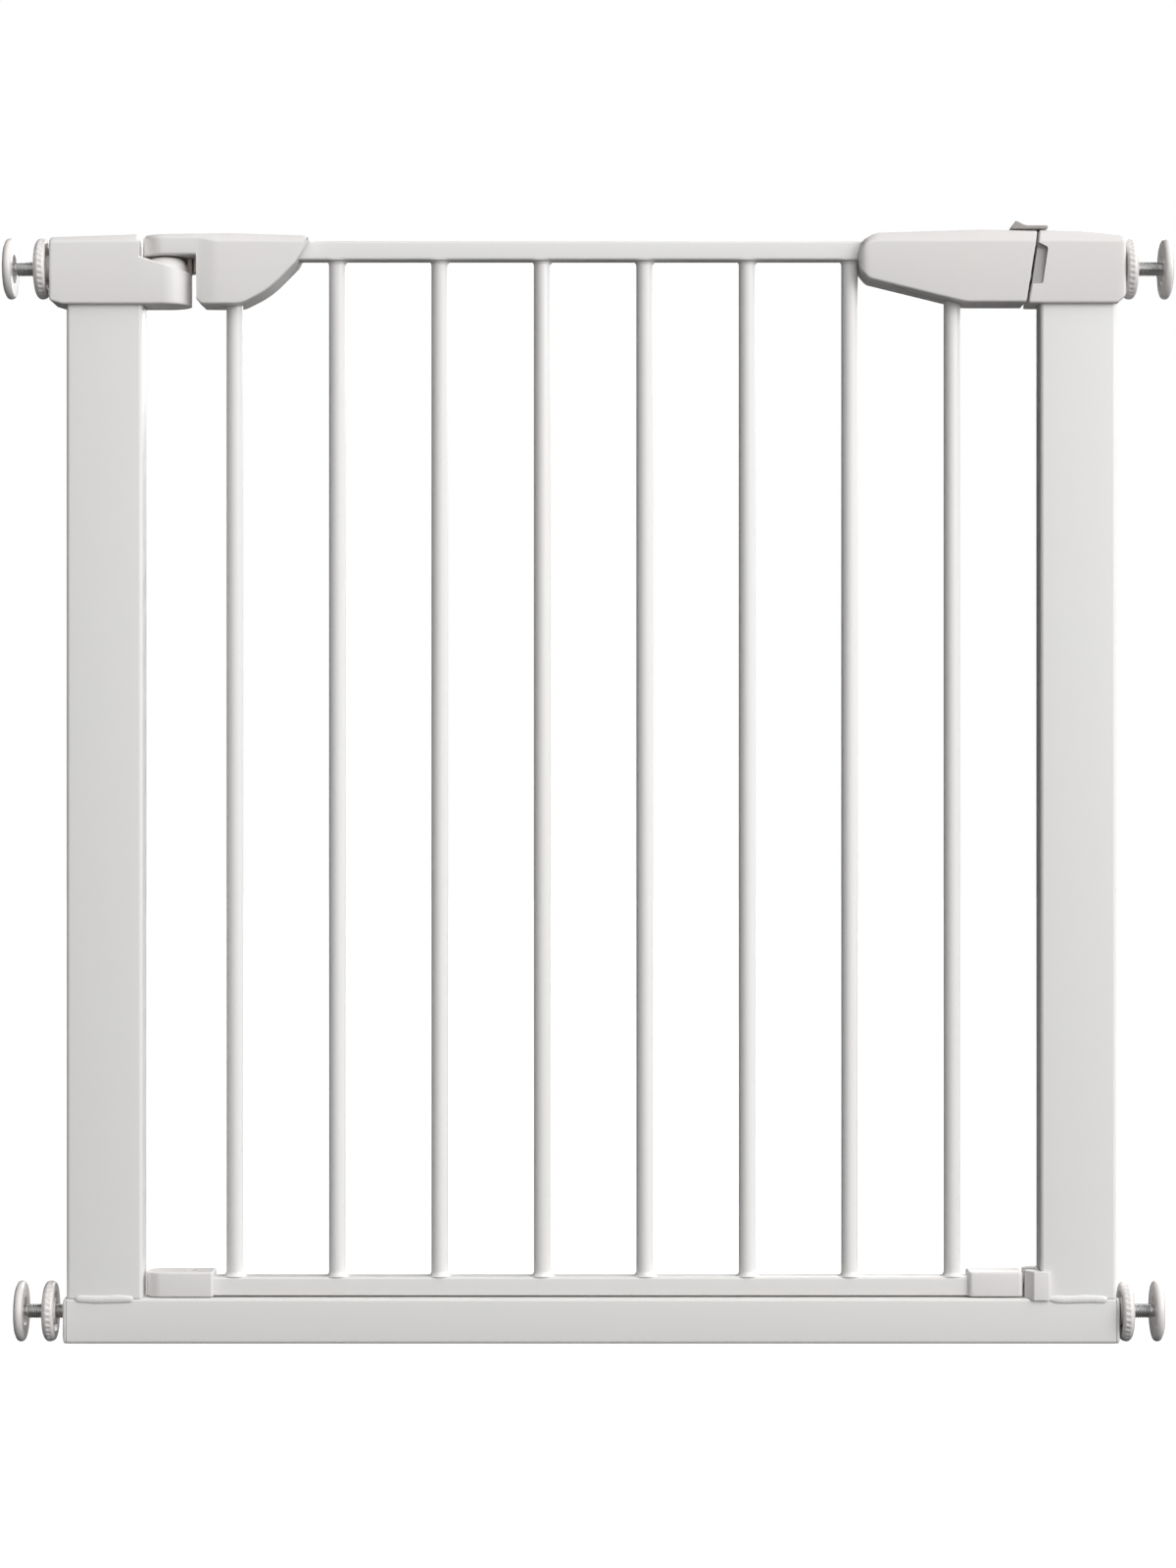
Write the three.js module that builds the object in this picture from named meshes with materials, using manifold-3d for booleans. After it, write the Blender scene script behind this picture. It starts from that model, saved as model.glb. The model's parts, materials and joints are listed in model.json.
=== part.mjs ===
// Pressure-fit safety gate: a steel frame clamped between two walls by four threaded spindles, and a
// lift-and-swing door. Millimetres, X along the width, -Y the front, +Z up, standing on z = 0.

import * as THREE from 'three';
import { mergeVertices } from 'three/addons/utils/BufferGeometryUtils.js';
import Module from 'manifold-3d';

const wasm = await Module();
wasm.setup();

// ---------------------------------------------------------------- driving dimensions

const GAP = 0.3;                    // left between pieces that touch
const HALF_GAP = GAP / 2;
const THROUGH = 60;                 // half length of a cut that passes right through

const TUBE_DEPTH = 25;              // front to back, posts and bottom bar
const POST_WIDTH = 50;
const BAR_HEIGHT = 30;
const TUBE_WALL = 1.2;
const FRAME_LEFT = -343.5;
const FRAME_RIGHT = 348;
const POST_TOP = 697;               // the posts end inside the casings, under the spindles

const RAIL_DEPTH = 15;
const RAIL_HEIGHT = 12.4;
const TOP_RAIL = { left: -246, right: 262, base: 714.6 };
const BOTTOM_RAIL = { left: -262, right: 272, base: 31 };
const SHOE_HALF = 11;               // half depth of the two shoes on the bottom rail
const BAR_COUNT = 8;
const BAR_RADIUS = 5.5;
const BAR_WALL = 1;
const FIRST_BAR_X = -233.7;
const BAR_PITCH = 67.8;

const HINGE_X = -279;               // vertical hinge axis, at y = 0
const LIFT = 12;                    // the door lifts this far before it swings
const BOLT_TRAVEL = 8;              // the thumb slider draws the bolt back this far

const CASING_WALL = 2;
const CASING_HALF = 17;             // half depth of the four moulded casings
const ARM_HALF = 15.5;              // half depth and end radius of the door casing's arm
const ARM_BASE = 717.1;
const SKIRT = { inner: 18, outer: 22, base: 707.6, reach: 45 };   // skirt about the hinge axis, 45 degrees

const TOP_SPINDLE_Z = 709.5;
const BOTTOM_SPINDLE_Z = 20;
const SPINDLE_RADIUS = 4.9;         // M10 x 1.5
const SPINDLE_LENGTH = 62;
const SPINDLE_HOLE = 5.3;
const PAD_RADIUS = 20;
const PAD_THICK = 4;
const PAD_FACE_THICK = 1.7;
const WHEEL_RADIUS = 20;
const WHEEL_THICK = 8;
const WHEEL_FLUTES = 24;

const PIN_RADIUS = 4;
const PIN_HOLE = 4.4;
const BUSH_RADIUS = 6.5;
const SCREW_RADIUS = 1.6;
const SCREW_HEAD_RADIUS = 3.2;
const SCREW_BOSS_RADIUS = 3.6;
const SHOE_SCREW_X = HINGE_X + 17;

const BOLT = { left: 258.5, right: 299, base: 701.3, top: 706.3, half: 4 };
const LUG = { left: 286, right: 288.2, base: 702, half: 2.5 };    // joins the thumb slider to the bolt
const SPRING = { left: 219.9, right: 261.1, y: 9.6, z: 706, radius: 2.6, wire: 0.4, turns: 8, sides: 5 };
const STRIKE = [[280, 697.6], [298.9, 697.6, 1.5], [302.5, 721.6, 1.5], [296.2, 724.7], [280, 724.7]];

// ---------------------------------------------------------------- materials

function finish(colour, roughness, metalness = 0) {
  return new THREE.MeshStandardMaterial({ color: colour, roughness, metalness });
}

const POWDER_COAT = finish(0xe9e8e6, 0.38);
const WHITE_PLASTIC = finish(0xe6e3e2, 0.45);
const WARM_GREY_PLASTIC = finish(0xb6b1ad, 0.5);
const STRIKE_GREY_PLASTIC = finish(0x91908e, 0.55);
const BUSH_PLASTIC = finish(0xd8d6cf, 0.6);
const ZINC_STEEL = finish(0xb9bbbd, 0.32, 1);
const PIN_STEEL = finish(0x9a9c9e, 0.35, 1);
const RUBBER = finish(0xcfccc8, 0.85);

// ---------------------------------------------------------------- solids

function toSolid(geometry) {
  geometry.deleteAttribute('normal');
  geometry.deleteAttribute('uv');
  const merged = mergeVertices(geometry, 1e-4);
  const index = merged.index.array;
  const vertProperties = Float32Array.from(merged.attributes.position.array);
  const triVerts = Uint32Array.from(index);
  return new wasm.Manifold(new wasm.Mesh({ numProp: 3, vertProperties, triVerts }));
}

function toGeometry(solid) {
  const { vertProperties, triVerts } = solid.getMesh();
  const geometry = new THREE.BufferGeometry();
  geometry.setAttribute('position', new THREE.BufferAttribute(vertProperties, 3));
  geometry.setIndex(new THREE.BufferAttribute(triVerts, 1));
  geometry.computeVertexNormals();
  return geometry;
}

function box([x0, x1], [y0, y1], [z0, z1]) {
  const geometry = new THREE.BoxGeometry(x1 - x0, y1 - y0, z1 - z0);
  return toSolid(geometry.translate((x0 + x1) / 2, (y0 + y1) / 2, (z0 + z1) / 2));
}

function extrude(points, depth) {
  const shape = new THREE.Shape(points.map(([x, y]) => new THREE.Vector2(x, y)));
  return new THREE.ExtrudeGeometry(shape, { depth, bevelEnabled: false });
}

// Outline in X and Z, carried along Y.
function prismY(points, y0, y1) {
  return toSolid(extrude(points, y1 - y0).rotateX(Math.PI / 2).translate(0, y1, 0));
}

// Outline in X and Y, carried along Z.
function prismZ(points, z0, z1) {
  return toSolid(extrude(points, z1 - z0).translate(0, 0, z0));
}

// Outline in Y and Z, carried along X.
function prismX(points, x0, x1) {
  const geometry = extrude(points, x1 - x0).rotateX(Math.PI / 2).rotateZ(Math.PI / 2);
  return toSolid(geometry.translate(x0, 0, 0));
}

// Round bars along X, Y or Z, each between two places on its axis and through a point of the other two.
function barX(radius, x0, x1, y, z, sides = 16) {
  const geometry = new THREE.CylinderGeometry(radius, radius, x1 - x0, sides).rotateZ(Math.PI / 2);
  return toSolid(geometry.translate((x0 + x1) / 2, y, z));
}

function barY(radius, y0, y1, x, z, sides = 12) {
  const geometry = new THREE.CylinderGeometry(radius, radius, y1 - y0, sides);
  return toSolid(geometry.translate(x, (y0 + y1) / 2, z));
}

function barZ(radius, z0, z1, x, y = 0, sides = 16) {
  const geometry = new THREE.CylinderGeometry(radius, radius, z1 - z0, sides).rotateX(Math.PI / 2);
  return toSolid(geometry.translate(x, y, (z0 + z1) / 2));
}

// Solid of revolution about the vertical line at x, from a closed outline of [radius, z] points.
function turned(profile, x, sides = 20) {
  const closed = [...profile, profile[0]].map(([r, z]) => new THREE.Vector2(r, z));
  return toSolid(new THREE.LatheGeometry(closed, sides).rotateX(Math.PI / 2).translate(x, 0, 0));
}

// ---------------------------------------------------------------- outlines

// Moves each side of a counter-clockwise outline of [x, y, corner radius] inwards by the wall.
function inset(corners, wall) {
  return corners.map(([x, y, radius = 0], i) => {
    const before = corners.at(i - 1);
    const after = corners[(i + 1) % corners.length];
    const arrive = new THREE.Vector2(x - before[0], y - before[1]).normalize();
    const leave = new THREE.Vector2(after[0] - x, after[1] - y).normalize();
    const scale = wall / (1 + arrive.dot(leave));
    const turn = arrive.cross(leave);
    const inner = turn > 0 ? Math.max(radius - wall, 0) : radius && radius + wall;
    return [x - (arrive.y + leave.y) * scale, y + (arrive.x + leave.x) * scale, inner];
  });
}

// Turns an outline of [x, y, corner radius] into points, each corner being an arc of a few steps.
function rounded(corners, steps = 3) {
  return corners.flatMap(([x, y, radius = 0], i) => {
    if (radius === 0) return [[x, y]];
    const before = corners.at(i - 1);
    const after = corners[(i + 1) % corners.length];
    const back = new THREE.Vector2(before[0] - x, before[1] - y).normalize();
    const ahead = new THREE.Vector2(after[0] - x, after[1] - y).normalize();
    const half = Math.acos(THREE.MathUtils.clamp(back.dot(ahead), -1, 1)) / 2;
    const middle = back.clone().add(ahead).normalize().multiplyScalar(radius / Math.sin(half));
    const reach = radius / Math.tan(half);
    const start = back.multiplyScalar(reach).sub(middle);
    const end = ahead.multiplyScalar(reach).sub(middle);
    const from = Math.atan2(start.y, start.x);
    const sweep = Math.atan2(start.cross(end), start.dot(end));
    return Array.from({ length: steps + 1 }, (_, k) => {
      const angle = from + (sweep * k) / steps;
      return [x + middle.x + radius * Math.cos(angle), y + middle.y + radius * Math.sin(angle)];
    });
  });
}

// Corners of a ring's sector about the hinge axis, between two radii and two angles in degrees.
function sector([inner, outer], [from, to]) {
  const steps = 6;
  const arc = (radius) => Array.from({ length: steps + 1 }, (_, k) => {
    const angle = THREE.MathUtils.degToRad(from + ((to - from) * k) / steps);
    return [HINGE_X + radius * Math.cos(angle), radius * Math.sin(angle)];
  });
  return [...arc(outer), ...arc(inner).reverse()];
}

function rectangle([x0, x1], [y0, y1], radius = 0) {
  return [[x0, y0, radius], [x1, y0, radius], [x1, y1, radius], [x0, y1, radius]];
}

// A rectangular tube's closed wall: outer and inner outline, carried along by the given prism.
function tube(prism, outline, wall, from, to) {
  const outer = prism(rounded(outline), from, to);
  return outer.subtract(prism(rounded(inset(outline, wall)), from - 1, to + 1));
}

// ---------------------------------------------------------------- the gate

const gate = new THREE.Group();

function add(name, solid, material) {
  const mesh = new THREE.Mesh(toGeometry(solid), material);
  mesh.name = name;
  gate.add(mesh);
}

// ---------------------------------------------------------------- moulded casings

// A casing is three outlines crossed: side (X, Z), plan (X, Y) and section (Y, Z).
function crossed({ side, plan, section }, shrink) {
  const [x0, x1] = [Math.min(...side.map((p) => p[0])) - 1, Math.max(...side.map((p) => p[0])) + 1];
  const [z0, z1] = [Math.min(...side.map((p) => p[1])) - 1, Math.max(...side.map((p) => p[1])) + 1];
  const shape = (corners) => rounded(shrink ? inset(corners, shrink) : corners);
  return prismY(shape(side), -THROUGH, THROUGH)
    .intersect(prismZ(shape(plan), z0, z1))
    .intersect(prismX(shape(section), x0, x1));
}

// Half section of a casing: flat sides, a steep bevel at the top edge and a low crown.
function sectionWith(half, base, bevel, crown) {
  const bevelIn = 5;
  const bevelUp = crown - 1.2;
  return [
    [-half, base], [half, base], [half, bevel], [half - bevelIn, bevelUp],
    [0, crown], [-half + bevelIn, bevelUp], [-half, bevel],
  ];
}

// Splits a casing into its front and rear shells and drives its screws in from the rear.
function splitCasing(name, casing, screws) {
  let shell = casing;
  for (const [x, z] of screws) {
    shell = shell.add(barY(SCREW_BOSS_RADIUS, -CASING_HALF + 1, CASING_HALF - 1, x, z));
    shell = shell.subtract(barY(SCREW_RADIUS + GAP, -CASING_HALF + 4, THROUGH, x, z));
    shell = shell.subtract(barY(SCREW_HEAD_RADIUS + GAP, CASING_HALF - 3, THROUGH, x, z));
  }
  const all = [-THROUGH * 10, THROUGH * 20];
  add(`${name}_front`, shell.intersect(box(all, [-THROUGH, -HALF_GAP], all)), WHITE_PLASTIC);
  add(`${name}_rear`, shell.intersect(box(all, [HALF_GAP, THROUGH], all)), WHITE_PLASTIC);
  screws.forEach(([x, z], i) => {
    const shank = barY(SCREW_RADIUS, -CASING_HALF + 6, CASING_HALF - 2, x, z);
    const head = barY(SCREW_HEAD_RADIUS, CASING_HALF - 2.7, CASING_HALF - 0.7, x, z);
    add(`${name}_screw_${i + 1}`, shank.add(head), ZINC_STEEL);
  });
}

// Sleeve that guides a top spindle through a casing, from its outer wall inwards.
function spindleSleeve(casing, outerX, innerX) {
  const [x0, x1] = [Math.min(outerX, innerX), Math.max(outerX, innerX)];
  const sleeve = barX(SPINDLE_HOLE + 2.2, x0, x1, 0, TOP_SPINDLE_Z);
  return casing.add(sleeve).subtract(barX(SPINDLE_HOLE, x0 - THROUGH, x1 + THROUGH, 0, TOP_SPINDLE_Z));
}

// Opening in a casing's base for the post that ends inside it.
function postHole(left, base) {
  const half = TUBE_DEPTH / 2 + GAP;
  return box([left - GAP, left + POST_WIDTH + GAP], [-half, half], [base - 5, POST_TOP + GAP]);
}

function frameHingeCasing() {
  const base = 684.4;
  const left = -354.4;
  const blockRight = -295.8;
  const side = [
    [-346.4, base], [HINGE_X + CASING_HALF, base, 1.5], [HINGE_X + CASING_HALF, 706.3, 2],
    [-292, 715.4, 3], [blockRight, 716.4, 2], [blockRight, 731.4, 1.5], [left, 729.6, 2],
    [left, 687, 1.5],
  ];
  const plan = [
    [left, -CASING_HALF, 3], [HINGE_X + CASING_HALF, -CASING_HALF, CASING_HALF - 0.01],
    [HINGE_X + CASING_HALF, CASING_HALF, CASING_HALF - 0.01], [left, CASING_HALF, 3],
  ];
  const shape = { side, plan, section: sectionWith(CASING_HALF, base - 1, 725.6, 732.6) };
  let casing = skirtRoom(crossed(shape, 0).subtract(crossed(shape, CASING_WALL)), crossed(shape, 0));
  const dome = [[0, 700], [13.7, 700], [13.7, 709], [12.6, 712.6], [10, 715], [7, 716.2], [0, 716.2]];
  casing = casing.add(turned(dome, HINGE_X)).add(barZ(BUSH_RADIUS + 2.5, base + 1, 705, HINGE_X));
  casing = casing.add(prismZ(sector([13.4, 16.8], [15, 130]), 703, 716.2));
  casing = spindleSleeve(casing, left, -304);
  casing = casing.subtract(postHole(FRAME_LEFT, base));
  casing = casing.subtract(barZ(BUSH_RADIUS + GAP, base - 1, 712, HINGE_X));
  casing = casing.subtract(barZ(PIN_HOLE, 700, 730, HINGE_X));
  splitCasing('hinge_casing', casing, [[-338, 723], [-306, 723]]);
}

// Lined recess behind the domed seat, where the door's skirt turns as the door opens to the rear.
function skirtRoom(casing, outside) {
  const clearance = 0.8;
  const room = [SKIRT.inner - clearance, SKIRT.outer + clearance];
  const floor = SKIRT.base - 1;
  const stop = 90 + SKIRT.reach + 2;
  const lining = sector([room[0] - CASING_WALL, room[1] + CASING_WALL], [80, stop + 8]);
  return casing
    .add(prismZ(lining, floor - CASING_WALL, 740).intersect(outside))
    .subtract(prismZ(sector(room, [75, stop]), floor, 740));
}

function latchCasing() {
  const base = 685;
  const side = [
    [290.6, base, 1], [348, base], [354.2, 689.8, 3], [354.2, 730.6, 3], [330, 733.4, 40],
    [297, 734.6, 1.5],
  ];
  const plan = rectangle([286, 354.2], [-CASING_HALF, CASING_HALF], 3);
  const shape = { side, plan, section: sectionWith(CASING_HALF, base - 1, 725.4, 735.2) };
  let casing = crossed(shape, 0).subtract(crossed(shape, CASING_WALL));
  casing = spindleSleeve(casing, 354.2, 313);
  const pocket = prismY(rounded(STRIKE), -THROUGH, CASING_HALF - CASING_WALL);
  const lining = prismY(rounded(inset(STRIKE, -1.4)), -CASING_HALF, CASING_HALF);
  casing = casing.add(lining.intersect(crossed(shape, 0))).subtract(pocket);
  casing = casing.subtract(postHole(FRAME_RIGHT - POST_WIDTH, base));
  splitCasing('latch_casing', casing, [[312.5, 724], [344, 724]]);
  strikeInsert(shape);
}

// Grey block in the latch casing, with the socket that the lock bolt enters.
function strikeInsert(shape) {
  const depth = [-CASING_HALF + 1.2, CASING_HALF - CASING_WALL - GAP];
  const block = prismY(rounded(inset(STRIKE, GAP)), ...depth);
  const socket = box([280, 300.4], [-5, 5], [BOLT.base - 0.5, BOLT.top + LIFT + 0.5]);
  add('strike_insert', block.intersect(crossed(shape, 0.4)).subtract(socket), STRIKE_GREY_PLASTIC);
}

// The body's left end stands at bodyLeft; the casing reaches its full depth at fullDepth.
function doorHingeCasing() {
  const base = 684.4;
  const bodyLeft = -257.6;
  const fullDepth = -243.4;
  const left = HINGE_X - ARM_HALF;
  const side = [
    [bodyLeft, 687.8], [-254, base], [-227, base, 14],
    [-211, 693.5, 40], [-192.4, 711.6, 6], [-183.6, 728.6], [-186.4, 730.6, 3], [-230, 732.4, 200],
    [left + 3, 731.4, 1], [left, 728.6], [left, ARM_BASE], [bodyLeft, ARM_BASE],
  ];
  const plan = [
    [left, -ARM_HALF, ARM_HALF - 0.01], [bodyLeft, -ARM_HALF, 8],
    [fullDepth, -CASING_HALF, 8], [-183, -CASING_HALF, 2], [-183, CASING_HALF, 2],
    [fullDepth, CASING_HALF, 8], [bodyLeft, ARM_HALF, 8], [left, ARM_HALF, ARM_HALF - 0.01],
  ];
  const shape = { side, plan, section: sectionWith(CASING_HALF, base - 1, 725.4, 733) };
  let casing = crossed(shape, 0).subtract(crossed(shape, CASING_WALL));
  const skirt = sector([SKIRT.inner, SKIRT.outer], [0, SKIRT.reach]);
  casing = casing.add(prismZ(skirt, SKIRT.base, ARM_BASE + 1));
  casing = casing.subtract(railSection(TOP_RAIL, GAP, TOP_RAIL.left - 1, TOP_RAIL.right));
  casing = casing.subtract(barZ(BAR_RADIUS + GAP, 660, TOP_RAIL.base + 1, doorBarX(0)));
  casing = casing.subtract(barZ(PIN_HOLE, 700, 726, HINGE_X));
  splitCasing('door_hinge_casing', casing, [[-214, 705], [-250, 697]]);
}

function handleCasing() {
  const base = 685.6;
  const side = [
    [183, 701, 4], [248, base, 20], [286.5, base, 1], [295.5, 734, 1], [258, 735.2, 120],
    [186, 732.8, 9], [175.8, 717.4, 14],
  ];
  const plan = [
    [175.8, -CASING_HALF, 6], [298, -CASING_HALF, 0], [298, CASING_HALF, 0], [175.8, CASING_HALF, 6],
  ];
  const shape = { side, plan, section: sectionWith(CASING_HALF, base - 1, 725.4, 735.7) };
  let casing = crossed(shape, 0).subtract(crossed(shape, CASING_WALL));
  const rib = [SPRING.left - 3.6, SPRING.left - 0.9];
  casing = casing.add(box(rib, [4, CASING_HALF - 1], [700, 713]));
  casing = casing.subtract(railSection(TOP_RAIL, GAP, TOP_RAIL.left, TOP_RAIL.right + GAP));
  for (const i of [BAR_COUNT - 2, BAR_COUNT - 1]) {
    casing = casing.subtract(barZ(BAR_RADIUS + GAP, 660, TOP_RAIL.base + 1, doorBarX(i)));
  }
  const slot = [LUG.left - BOLT_TRAVEL - GAP, LUG.right + GAP];
  casing = casing.subtract(box(slot, [-LUG.half - GAP, LUG.half + GAP], [725, 740]));
  casing = casing.subtract(
    box([280, 300], [-BOLT.half - GAP, BOLT.half + GAP], [BOLT.base - GAP, BOLT.top + GAP]),
  );
  splitCasing('handle_casing', casing, [[204, 704], [272, 692]]);
}

// ---------------------------------------------------------------- latch

function thumbSlider() {
  const base = 735.1;
  const profile = [
    [278.3, base], [303.4, base, 1], [303.4, 737.6, 1.2], [288.6, 737.6, 12], [282.2, 740.3, 1],
  ];
  const plate = prismY(rounded(profile), -9, 9);
  const lug = box([LUG.left, LUG.right], [-LUG.half, LUG.half], [LUG.base, base + 1]);
  add('thumb_slider', plate.add(lug), WARM_GREY_PLASTIC);
}

function lockBolt() {
  const bar = box([BOLT.left, BOLT.right], [-BOLT.half, BOLT.half], [BOLT.base, BOLT.top]);
  const socket = box([LUG.left - GAP, LUG.right + GAP], [-LUG.half - GAP, LUG.half + GAP], [690, 720]);
  const springSeat = box([SPRING.right + 0.9, SPRING.right + 4.9], [0, 13.4], [BOLT.base, 711]);
  add('lock_bolt', bar.add(springSeat).subtract(socket), ZINC_STEEL);
}

class SpringPath extends THREE.Curve {
  getPoint(t, target = new THREE.Vector3()) {
    const angle = t * SPRING.turns * 2 * Math.PI;
    const x = THREE.MathUtils.lerp(SPRING.left, SPRING.right, t);
    const y = SPRING.y + SPRING.radius * Math.cos(angle);
    return target.set(x, y, SPRING.z + SPRING.radius * Math.sin(angle));
  }
}

// Return spring between the rear shell's rib and the bolt's seat.
function latchSpring() {
  const section = Array.from({ length: SPRING.sides }, (_, k) => {
    const angle = (2 * Math.PI * k) / SPRING.sides;
    return new THREE.Vector2(SPRING.wire * Math.cos(angle), SPRING.wire * Math.sin(angle));
  });
  const options = { steps: SPRING.turns * 8, extrudePath: new SpringPath(), bevelEnabled: false };
  add('latch_spring', toSolid(new THREE.ExtrudeGeometry(new THREE.Shape(section), options)), ZINC_STEEL);
}

// ---------------------------------------------------------------- frame

function posts() {
  for (const [name, left] of [['left_post', FRAME_LEFT], ['right_post', FRAME_RIGHT - POST_WIDTH]]) {
    const outline = rectangle([left, left + POST_WIDTH], [-TUBE_DEPTH / 2, TUBE_DEPTH / 2], 2.5);
    add(name, tube(prismZ, outline, TUBE_WALL, BAR_HEIGHT + GAP, POST_TOP), POWDER_COAT);
  }
}

function bottomBar() {
  const outline = rectangle([-TUBE_DEPTH / 2, TUBE_DEPTH / 2], [0, BAR_HEIGHT], 2);
  const bar = tube(prismX, outline, TUBE_WALL, FRAME_LEFT, FRAME_RIGHT);
  add('bottom_bar', bar.subtract(barZ(BUSH_RADIUS + GAP, 15, 40, HINGE_X)), POWDER_COAT);
}

// Plug cap of an open end of the bottom bar, with the spindle's guide sleeve; side is -1 or 1.
function endCap(name, endX, side) {
  const span = (near, far) => [endX + side * near, endX + side * far].sort((a, b) => a - b);
  const outline = rectangle([-TUBE_DEPTH / 2, TUBE_DEPTH / 2], [0, BAR_HEIGHT], 2.5);
  const crown = inset(outline, 1.2);
  const flange = prismX(rounded(outline), ...span(GAP, 1.6));
  const plug = tube(prismX, inset(outline, TUBE_WALL + GAP), 2, ...span(-12, 1));
  const sleeve = barX(SPINDLE_HOLE + 2, ...span(-12, 1), 0, BOTTOM_SPINDLE_Z);
  const bore = barX(SPINDLE_HOLE, ...span(-THROUGH, THROUGH), 0, BOTTOM_SPINDLE_Z);
  const cap = flange.add(prismX(rounded(crown), ...span(1.5, 3.2))).add(plug);
  const inside = prismX(rounded(inset(outline, TUBE_WALL + GAP)), ...span(-12, 1));
  add(name, cap.add(sleeve.intersect(inside)).subtract(bore), WHITE_PLASTIC);
}

// Forked keeper round the foot of the right post; the door's tongue drops into its open slot.
function bottomCatch() {
  const postLeft = FRAME_RIGHT - POST_WIDTH;
  const postHalf = TUBE_DEPTH / 2 + GAP;
  const slotHalf = 4;
  const plan = [
    [288, -9], [293.4, -15.2], [304, -15.2], [304, 15.2], [293.4, 15.2], [288, 9],
  ];
  const body = prismZ(plan, BAR_HEIGHT + GAP, 48);
  const post = box([postLeft - GAP, 320], [-postHalf, postHalf], [20, 60]);
  const slot = box([280, postLeft - 1.6], [-slotHalf, slotHalf], [35, 60]);
  add('bottom_catch', body.subtract(post).subtract(slot), WHITE_PLASTIC);
}

function bushes() {
  const upper = barZ(BUSH_RADIUS, 684.5, 711, HINGE_X).subtract(barZ(PIN_HOLE, 680, 720, HINGE_X));
  add('upper_hinge_bush', upper, BUSH_PLASTIC);
  const lower = barZ(BUSH_RADIUS, 17, BAR_HEIGHT, HINGE_X).subtract(barZ(PIN_HOLE, 0, 60, HINGE_X));
  add('lower_hinge_bush', lower, BUSH_PLASTIC);
}

function hingePins() {
  add('upper_hinge_pin', barZ(PIN_RADIUS, 688, 725, HINGE_X), PIN_STEEL);
  add('lower_hinge_pin', barZ(PIN_RADIUS, 6, 42, HINGE_X), PIN_STEEL);
}

// ---------------------------------------------------------------- door

function railOutline({ base }, grow = 0) {
  const half = RAIL_DEPTH / 2 + grow;
  return rectangle([-half, half], [base - grow, base + RAIL_HEIGHT + grow], 1.5);
}

function railSection(rail, grow, from, to) {
  return prismX(rounded(railOutline(rail, grow)), from, to);
}

function rails() {
  const top = tube(prismX, railOutline(TOP_RAIL), TUBE_WALL, TOP_RAIL.left, TOP_RAIL.right);
  add('top_rail', top, POWDER_COAT);
  const bottom = tube(prismX, railOutline(BOTTOM_RAIL), TUBE_WALL, BOTTOM_RAIL.left, BOTTOM_RAIL.right);
  add('bottom_rail', bottom, POWDER_COAT);
}

function doorBarX(i) {
  return FIRST_BAR_X + BAR_PITCH * i;
}

function doorBars() {
  const base = BOTTOM_RAIL.base + RAIL_HEIGHT + GAP;
  const top = TOP_RAIL.base - GAP;
  const inner = BAR_RADIUS - BAR_WALL;
  const wall = [[inner, base], [BAR_RADIUS, base], [BAR_RADIUS, top], [inner, top]];
  for (let i = 0; i < BAR_COUNT; i += 1) {
    add(`door_bar_${i + 1}`, turned(wall, doorBarX(i)), POWDER_COAT);
  }
}

// Steel strap inside the door casing: an eye over the upper pin, held in the rail's open end.
function hingeStrap() {
  const half = 5.6;
  const outline = [
    [HINGE_X - 7.5, -7.5, 7.49], [HINGE_X + 10, -7.5, 3], [HINGE_X + 16, -half], [-200, -half],
    [-200, half], [HINGE_X + 16, half], [HINGE_X + 10, 7.5, 3], [HINGE_X - 7.5, 7.5, 7.49],
  ];
  const strap = prismZ(rounded(outline), 719.6, 722.6);
  add('upper_hinge_strap', strap.subtract(barZ(PIN_HOLE, 700, 740, HINGE_X)), PIN_STEEL);
}

// Shoe on the rail's end that turns on the lower pin.
function hingeShoe() {
  const left = HINGE_X - 13;
  const right = -247;
  const plan = [
    [left, -SHOE_HALF, SHOE_HALF - 0.01], [right, -SHOE_HALF, 2],
    [right, SHOE_HALF, 2], [left, SHOE_HALF, SHOE_HALF - 0.01],
  ];
  const body = prismZ(rounded(plan), BAR_HEIGHT + 0.5, 46.5);
  const bore = barZ(PIN_HOLE, 20, 43, HINGE_X);
  const headWell = barZ(SCREW_HEAD_RADIUS + GAP, 44.6, 50, SHOE_SCREW_X, 0, 12);
  const screwHole = barZ(SCREW_RADIUS + GAP, 40, 50, SHOE_SCREW_X, 0, 12);
  const room = railRoom(BOTTOM_RAIL.left - GAP, right + 10);
  const holes = bore.add(headWell).add(screwHole);
  add('hinge_shoe', body.subtract(room).subtract(holes), WHITE_PLASTIC);
}

// Channel in a shoe's base for the bottom rail's end.
function railRoom(from, to) {
  const half = RAIL_DEPTH / 2 + GAP;
  return box([from, to], [-half, half], [20, BOTTOM_RAIL.base + RAIL_HEIGHT + GAP]);
}

// Shoe on the rail's other end; its tongue rests in the bottom catch while the door is shut.
function latchShoe() {
  const plan = rectangle([250.8, 286.6], [-SHOE_HALF, SHOE_HALF], 3);
  const body = prismZ(rounded(plan), BAR_HEIGHT + 0.8, 46);
  const tongue = box([284, 295.6], [-3, 3], [38, 43]);
  const room = railRoom(240, BOTTOM_RAIL.right + GAP);
  add('latch_shoe', body.subtract(room).add(tongue), WHITE_PLASTIC);
}

function hingeShoeScrew() {
  const head = barZ(SCREW_HEAD_RADIUS, 44.9, 46.3, SHOE_SCREW_X, 0, 12);
  const shank = barZ(SCREW_RADIUS, BOTTOM_RAIL.base + RAIL_HEIGHT + GAP, 45, SHOE_SCREW_X, 0, 12);
  add('hinge_shoe_screw', head.add(shank), ZINC_STEEL);
}

// ---------------------------------------------------------------- clamping spindles

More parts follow.
